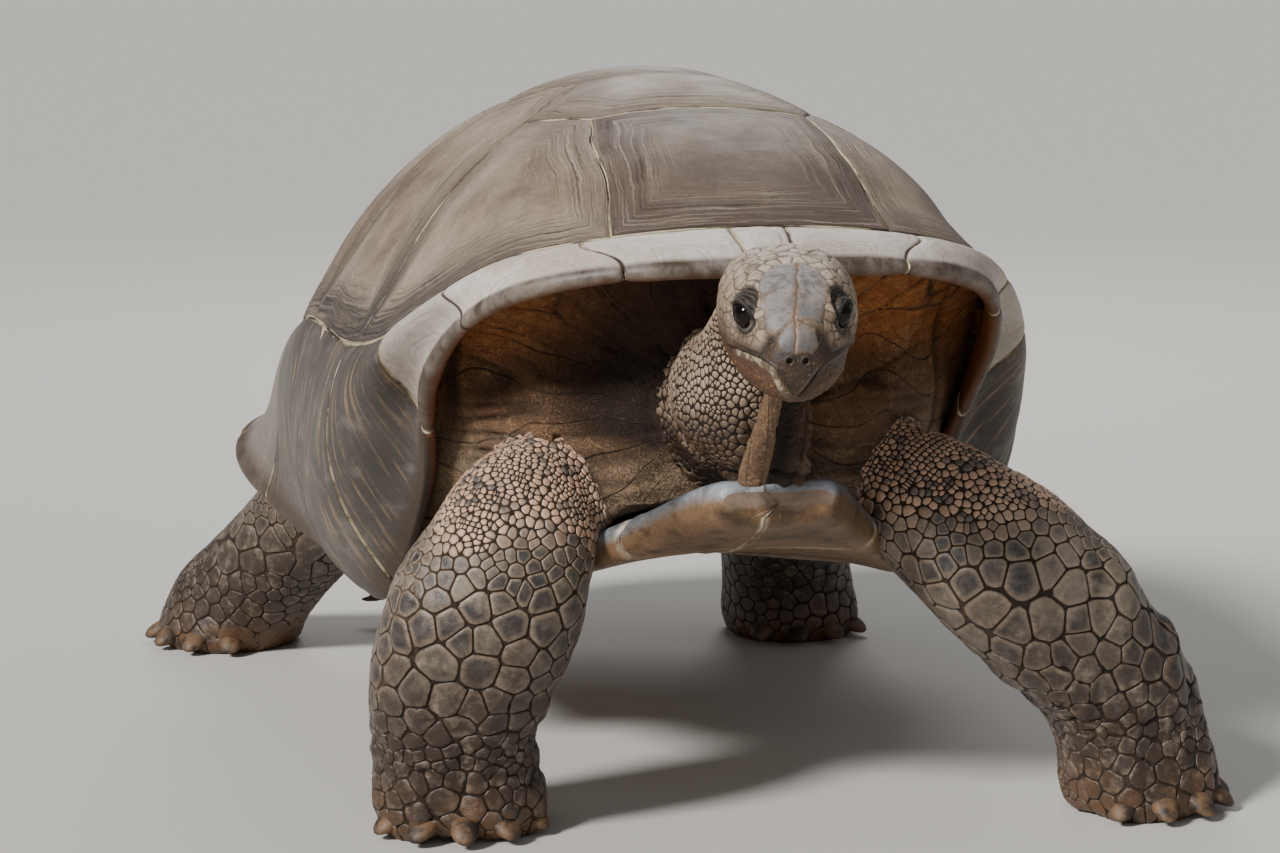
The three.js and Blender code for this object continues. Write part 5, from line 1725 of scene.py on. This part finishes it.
def beakAndHeadHorn():
    # horn plates and small horny scales of the head: mottled slate plates with rusty and cream
    # joints, tan scales, both lighter on top as painted highlight and darker low down as painted shade,
    # a dark brown beak, pale horn on the lower beak kept on its lit side as painted highlight and painted
    # brown on the shaded side, gritty orange-brown skin on the chin, dark wrinkled lids
    material, tree, surface = newMaterial("head horn", 0.45)
    place = addNode(tree, "TexCoord", {}, "Object")
    cell, edge, plate, beak, jaw, lid, slitRim, up, ridge, grit, shadedJawSide = attributes(
        tree, "cell", "edge", "plate", "beak", "jaw", "lid", "slitRim", "up", "ridge", "grit", "shadedJawSide")
    broad, middle, fine = noises(tree, place, (38.0, 4.0, 0.6), (110.0, 4.0, 0.65), (430.0, 4.0, 0.7))
    tan = paintOver(tree, "#75634f", [
        ([cell, 0.8], "#978470"),
        ([(broad, 0.45, 0.65), 0.7], "#ab9984"),
        ([(middle, 0.5, 0.66), 0.65], "#54473b"),
        # the crown lighter on top: a painted highlight
        ([(up, 26.0, 46.0), (middle, 0.62, 0.4, 0.1, 0.65)], "#c2b4a4"),
        # the lower half of the head darker: painted shade
        ((up, 4.0, -14.0), "#432e1e"),
        ([grit, (middle, 0.35, 0.6, 0.5, 1.0)], "#4d3019"),
        ([grit, (fine, 0.56, 0.66)], "#a0713e")])
    slate = paintOver(tree, "#505154", [
        ((broad, 0.42, 0.6), "#73706d"),
        ([(middle, 0.48, 0.64), 0.7], "#93806f"),
        ([(middle, 0.44, 0.34), 0.7], "#38383b"),
        # the plates lighter on top: a painted highlight
        ([(up, 16.0, 36.0), (middle, 0.6, 0.4, 0.15, 0.75)], "#98938e"),
        ([(middle, 0.51, 0.57), 0.75], "#625b57"),
        ([(fine, 0.55, 0.6), (broad, 0.4, 0.6, 0.1, 0.8)], "#85603f"),
        # the lower plates of the nose darker: painted shade
        ([(up, 14.0, -4.0), 0.9], "#393532"),
        ([(edge, 5.0, 1.0), (broad, 0.42, 0.58), 0.7], "#7d604a")])
    horn = paintOver(tree, "#20150d", [
        ((middle, 0.4, 0.64), "#3c2919"), ([(fine, 0.56, 0.66), 0.5], "#7a5a3c")])
    # the lower beak's pale horn, painted brown on its shaded side so that the pale shows only on the lit side
    # as a painted highlight
    edgeHorn = paintOver(tree, "#5c4e3c", [
        ((middle, 0.47, 0.58), "#a99a80"), ([ridge, 0.4], "#55432e"), (shadedJawSide, "#44321f")])
    lids = paintOver(tree, "#17110c", [
        ([(ridge, 0.45, 0.95), 0.8], "#584a3c"), ([(middle, 0.5, 0.64), 0.4], "#3d3128")])
    colour = paintOver(tree, tan, [
        (plate, slate),
        ((edge, 1.2, 0.4, 0.0, 0.8), "#4f3826"),
        ([(edge, 0.8, 0.3), (middle, 0.46, 0.56), plate, 0.7], "#9c7d58"),
        (beak, horn), (jaw, edgeHorn), (lid, lids), ([slitRim, 0.7], "#6d6458")])
    speck = ranged(tree, fine, 0.3, 0.7, 0.8, 1.2)
    tree.links.new(ranged(tree, plate, 0.0, 1.0, 0.58, 0.44), surface.inputs["Roughness"])
    relief = addNode(tree, "Math", {0: middle, 1: fine}, "Value")
    finishSurface(tree, surface, colour, speck, relief, 0.0008, 0.45)
    return material


def scaleHorn(name, tone):
    # horn plates worn to a dark core with a paler rim, finely rayed, darker towards the ground: mud on the
    # legs, painted shade on the lower neck
    material, tree, surface = newMaterial(name, 0.4, 0.5)
    place = addNode(tree, "TexCoord", {}, "Object")
    rim, cell, size, rayX, rayY = attributes(tree, "rim", "cell", "size", "rayX", "rayY")
    height = addNode(tree, "SeparateXYZ", {"Vector": place}, "Z")
    broad, middle, fine = noises(tree, place, (18.0, 4.0, 0.65), (75.0, 4.0, 0.65), (330.0, 4.0, 0.7))
    rays = addNode(tree, "CombineXYZ", {"X": product(tree, rayX, 3.2), "Y": product(tree, rayY, 3.2),
                                        "Z": product(tree, cell, 90.0)}, "Vector")
    rayed, = noises(tree, rays, (1.0, 4.0, 0.65))
    core = product(tree, (rim, 0.92, 0.55), (middle, 0.3, 0.6, 0.7, 1.0),
                   (cell, 0.0, 0.5, 0.55, 1.0))
    large = ranged(tree, size, 8.5, 13.5)
    body = paintOver(tree, tone["rim"], [
        ([(rayed, 0.42, 0.62), large, 0.7], tone["ray"]),
        (core, tone["core"]),
        ([(broad, 0.46, 0.62), 0.55], tone["worn"])])
    grains = paintOver(tree, tone["grain"], [
        ((cell, 0.45, 0.75), tone["grainDark"]), ((broad, 0.42, 0.62, 0.0, 0.7), tone["grain2"])])
    colour = paintOver(tree, grains, [
        (large, body),
        # darker low down: mud on the legs, painted shade on the lower part of the neck
        ([(height, *tone["mudAndShadeHeights"]), (middle, 0.36, 0.52, 0.35, 1.0)], tone["mudAndShade"]),
        ([(height, *tone["darkMudAndShadeHeights"]), (broad, 0.4, 0.55)], tone["darkMudAndShade"]),
        ((rim, 0.90, 0.985), tone["groove"])])
    speck = ranged(tree, fine, 0.3, 0.7, 0.82, 1.16)
    relief = addNode(tree, "Math", {0: product(tree, rayed, large), 1: fine}, "Value")
    finishSurface(tree, surface, colour, speck, relief, 0.001, 0.55)
    return material


def tortoiseSkin():
    # dry leathery skin, orange-brown where the shell shelters it, rust-orange under the front edge and
    # brightened there as painted light, painted shade nearly black in the folds and a painted shadow beside
    # the neck deep under the shell, with a fine net of wrinkles
    material, tree, surface = newMaterial("leathery skin", 0.68, 0.35)
    place = addNode(tree, "TexCoord", {}, "Object")
    creaseShade, shelter, paintedShadow, limb, rustAndLight, around, outward = attributes(
        tree, "creaseShade", "shelter", "paintedShadow", "limb", "rustAndLight", "around", "outward")
    broad, middle, fine, slow = noises(tree, place, (11.0, 4.0, 0.6), (60.0, 4.0, 0.65), (330.0, 4.0, 0.7),
                                       (10.0, 0.6, 0.4))
    # creases that fan out from the neck, and rounds across them: thin lines where the fraction of
    # bearing (or distance) * count + stray * noise passes its middle
    lines = []
    for value, count, stray, width in ((around, 0.8, 2.4, 0.035), (around, 2.1, 5.0, 0.06),
                                       (outward, 2.6, 3.5, 0.04)):
        phase = addNode(tree, "Math", {0: value, 1: count, 2: product(tree, slow, stray)}, "Value",
                        operation="MULTIPLY_ADD")
        part = addNode(tree, "Math", {0: phase}, "Value", operation="FRACT")
        off = addNode(tree, "Math", {0: part, 1: 0.5}, "Value", operation="SUBTRACT")
        far = addNode(tree, "Math", {0: off}, "Value", operation="ABSOLUTE")
        lines.append(ranged(tree, far, width, width * 0.2))
    longLine, shortLine, roundLine = lines
    stir = addNode(tree, "TexNoise", {"Vector": place, "Scale": 30.0}, "Color")
    bent = addNode(tree, "VectorMath", {0: place, 1: stir, 2: (0.012, 0.012, 0.012)}, "Vector",
                   operation="MULTIPLY_ADD")
    bent = addNode(tree, "VectorMath", {0: bent, 1: (1.0, 1.0, 0.7)}, "Vector", operation="MULTIPLY")
    coarseNet, fineNet = [addNode(tree, "TexVoronoi", {"Vector": bent, "Scale": scale}, "Distance",
                                  feature="DISTANCE_TO_EDGE") for scale in (85.0, 260.0)]
    colour = paintOver(tree, "#7d6750", [
        ((broad, 0.38, 0.62), "#977f65"),
        (shelter, paintOver(tree, "#6d4829", [((broad, 0.4, 0.62), "#8a6542")])),
        # rust-orange skin under the front edge, brightened as painted light where the shell's edge shades it
        ([rustAndLight, 0.9], paintOver(tree, "#b5642a", [((middle, 0.4, 0.6), "#cd8440")])),
        ([(coarseNet, 0.10, 0.0), (broad, 0.4, 0.6, 0.45, 0.85)], "#3a2212"),
        ([(fineNet, 0.09, 0.0), 0.5], "#4e321b"),
        ([(middle, 0.54, 0.66), 0.22], "#c09a6c"),
        ([roundLine, (middle, 0.42, 0.6), 0.55], "#b08a5f"),
        ([shortLine, (middle, 0.44, 0.6), 0.5], "#2d190c"),
        ([longLine, (middle, 0.38, 0.52, 0.15, 0.8)], "#190d05"),
        (limb, "#35281c"),
        # painted shade in the folds, darker the deeper the fold
        (creaseShade, "#1c1008"),
        # painted shadow beside the neck under the shell
        (paintedShadow, "#190e07")])
    speck = ranged(tree, fine, 0.3, 0.7, 0.8, 1.2)
    relief = addNode(tree, "Math", {0: ranged(tree, coarseNet, 0.0, 0.14),
                                    1: ranged(tree, fineNet, 0.0, 0.12, 0.0, 0.5)}, "Value")
    relief = addNode(tree, "Math", {0: longLine, 1: -2.5, 2: relief}, "Value", operation="MULTIPLY_ADD")
    finishSurface(tree, surface, colour, speck, relief, 0.0016, 0.7)
    return material


def wetEye():
    # a dark brown iris round a black pupil under a wet cornea
    material, tree, surface = newMaterial("wet eye", 0.05, 0.22,
                                          **{"Coat Weight": 0.12, "Coat Roughness": 0.02})
    polar, = attributes(tree, "polar")
    colour = paintOver(tree, "#030202", [((polar, 0.42, 0.50), "#0f0804")])
    tree.links.new(colour, surface.inputs["Base Color"])
    return material


def muddyClaw():
    # thick dark horn, worn blunt and dusted with mud
    material, tree, surface = newMaterial("muddy claw horn", 0.6)
    place = addNode(tree, "TexCoord", {}, "Object")
    noise, fine = noises(tree, place, (50.0, 5.0, 0.6), (330.0, 4.0, 0.7))
    colour = paintOver(tree, "#2b2018", [((noise, 0.42, 0.58), "#6a5037")])
    finishSurface(tree, surface, colour, ranged(tree, fine, 0.3, 0.7, 0.75, 1.2), noise, 0.0015, 0.6)
    return material


domeTone = dict(
    horn="#69584a", horn2="#84725f", worn="#a39483", ring="#35281d", pale="#a89785", stain="#2d2a28",
    dull="#54453a",
)
legTone = dict(
    rim="#8f7c68", ray="#665648", core="#2b2a2b", worn="#9a8b79", grain="#ba957a", grainDark="#605851",
    grain2="#cba98f", mudAndShade="#33251a", darkMudAndShade="#5c3e23", mudAndShadeHeights=(0.27, 0.10), darkMudAndShadeHeights=(0.07, 0.01),
    groove="#2c2018",
)
# on the neck the mud colours and their heights are painted shade on its lower part
neckTone = dict(
    rim="#9c8974", ray="#84705c", core="#7d6957", worn="#ac9a85", grain="#907c69", grainDark="#776452",
    grain2="#aa9680", mudAndShade="#543c29", darkMudAndShade="#23170e", mudAndShadeHeights=(0.44, 0.38), darkMudAndShadeHeights=(0.42, 0.37),
    groove="#382a1e",
)
studio = dict(
    camera=(-742.55, -3493.43, 874.28), target=(0.0, 0.0, 315.0), lens=99.0,
    sun=((-3.3, -2.4, 3.2), 11.0, 4.7),
    lamps=[("fill", (-0.6, -4.2, 1.5), 2.6, 14.0), ("back", (0.9, 3.4, 3.0), 1.6, 50.0)],
    sky=(0.93, 0.95, 1.0, 1), skyStrength=0.28, floor=90, aim=(0.0, 0.0, 0.35), sensor=36, far=120,
)


def buildStudio():
    bpy.ops.mesh.primitive_plane_add(size=studio["floor"], location=(0, 0, 0))
    floor = bpy.context.object
    floor.name = "floor"
    floor.data.materials.append(plainFloor())
    world = bpy.data.worlds.new("studio")
    bpy.context.scene.world = world
    world.use_nodes = True
    background = world.node_tree.nodes["Background"]
    background.inputs["Color"].default_value = studio["sky"]
    background.inputs["Strength"].default_value = studio["skyStrength"]
    place, spreadAngle, power = studio["sun"]
    lights = [("key", place, dict(type="SUN"), dict(angle=math.radians(spreadAngle), energy=power))]
    lights += [(name, place, dict(type="AREA"), dict(size=size, energy=power))
               for name, place, size, power in studio["lamps"]]
    for name, place, kind, settings in lights:
        lamp = bpy.data.lights.new(name, **kind)
        for key, value in settings.items():
            setattr(lamp, key, value)
        holder = bpy.data.objects.new(name, lamp)
        holder.location = place
        holder.rotation_mode = "QUATERNION"
        holder.rotation_quaternion = lookAlong(np.array(studio["aim"]) - place)
        bpy.context.scene.collection.objects.link(holder)
    camera = bpy.data.objects.new("camera", bpy.data.cameras.new("camera"))
    place = (np.array(studio["camera"]) + shift) * mm
    camera.location = place
    camera.rotation_mode = "QUATERNION"
    camera.rotation_quaternion = lookAlong((np.array(studio["target"]) + shift) * mm - place)
    camera.data.lens = studio["lens"]
    camera.data.sensor_width = studio["sensor"]
    camera.data.clip_end = studio["far"]
    bpy.context.scene.collection.objects.link(camera)
    bpy.context.scene.camera = camera


def lookAlong(direction):
    # the turn that points a lamp or camera, which look along -Z, this way
    return Vector(direction).to_track_quat("-Z", "Y")


domeHorn = weatheredHorn("weathered dome horn", domeTone)
rimHorn = rimHornFinish("weathered rim horn")
bellyHorn = bellyHornFinish("scuffed plastron horn")
boneFinish = sutureBone()
headFinish = beakAndHeadHorn()
legFinish = scaleHorn("leg plate horn", legTone)
neckFinish = scaleHorn("neck scale horn", neckTone)
skinFinish = tortoiseSkin()
eyeFinish = wetEye()
clawFinish = muddyClaw()

buildStudio()
buildBoneShell(boneFinish)
buildVertebrals(domeHorn)
buildCostals(domeHorn)
print("dome scutes built")
buildMarginals(rimHorn)
print("marginals built")
buildPlastron(bellyHorn)
print("plastron built")
buildHead(headFinish)
buildEyes(eyeFinish)
print("head built")
skin = buildSkin(skinFinish)
print("skin built")
buildCoats(skin, legFinish, neckFinish)
buildWattle(skinFinish)
buildClaws(clawFinish)
print("scales built")
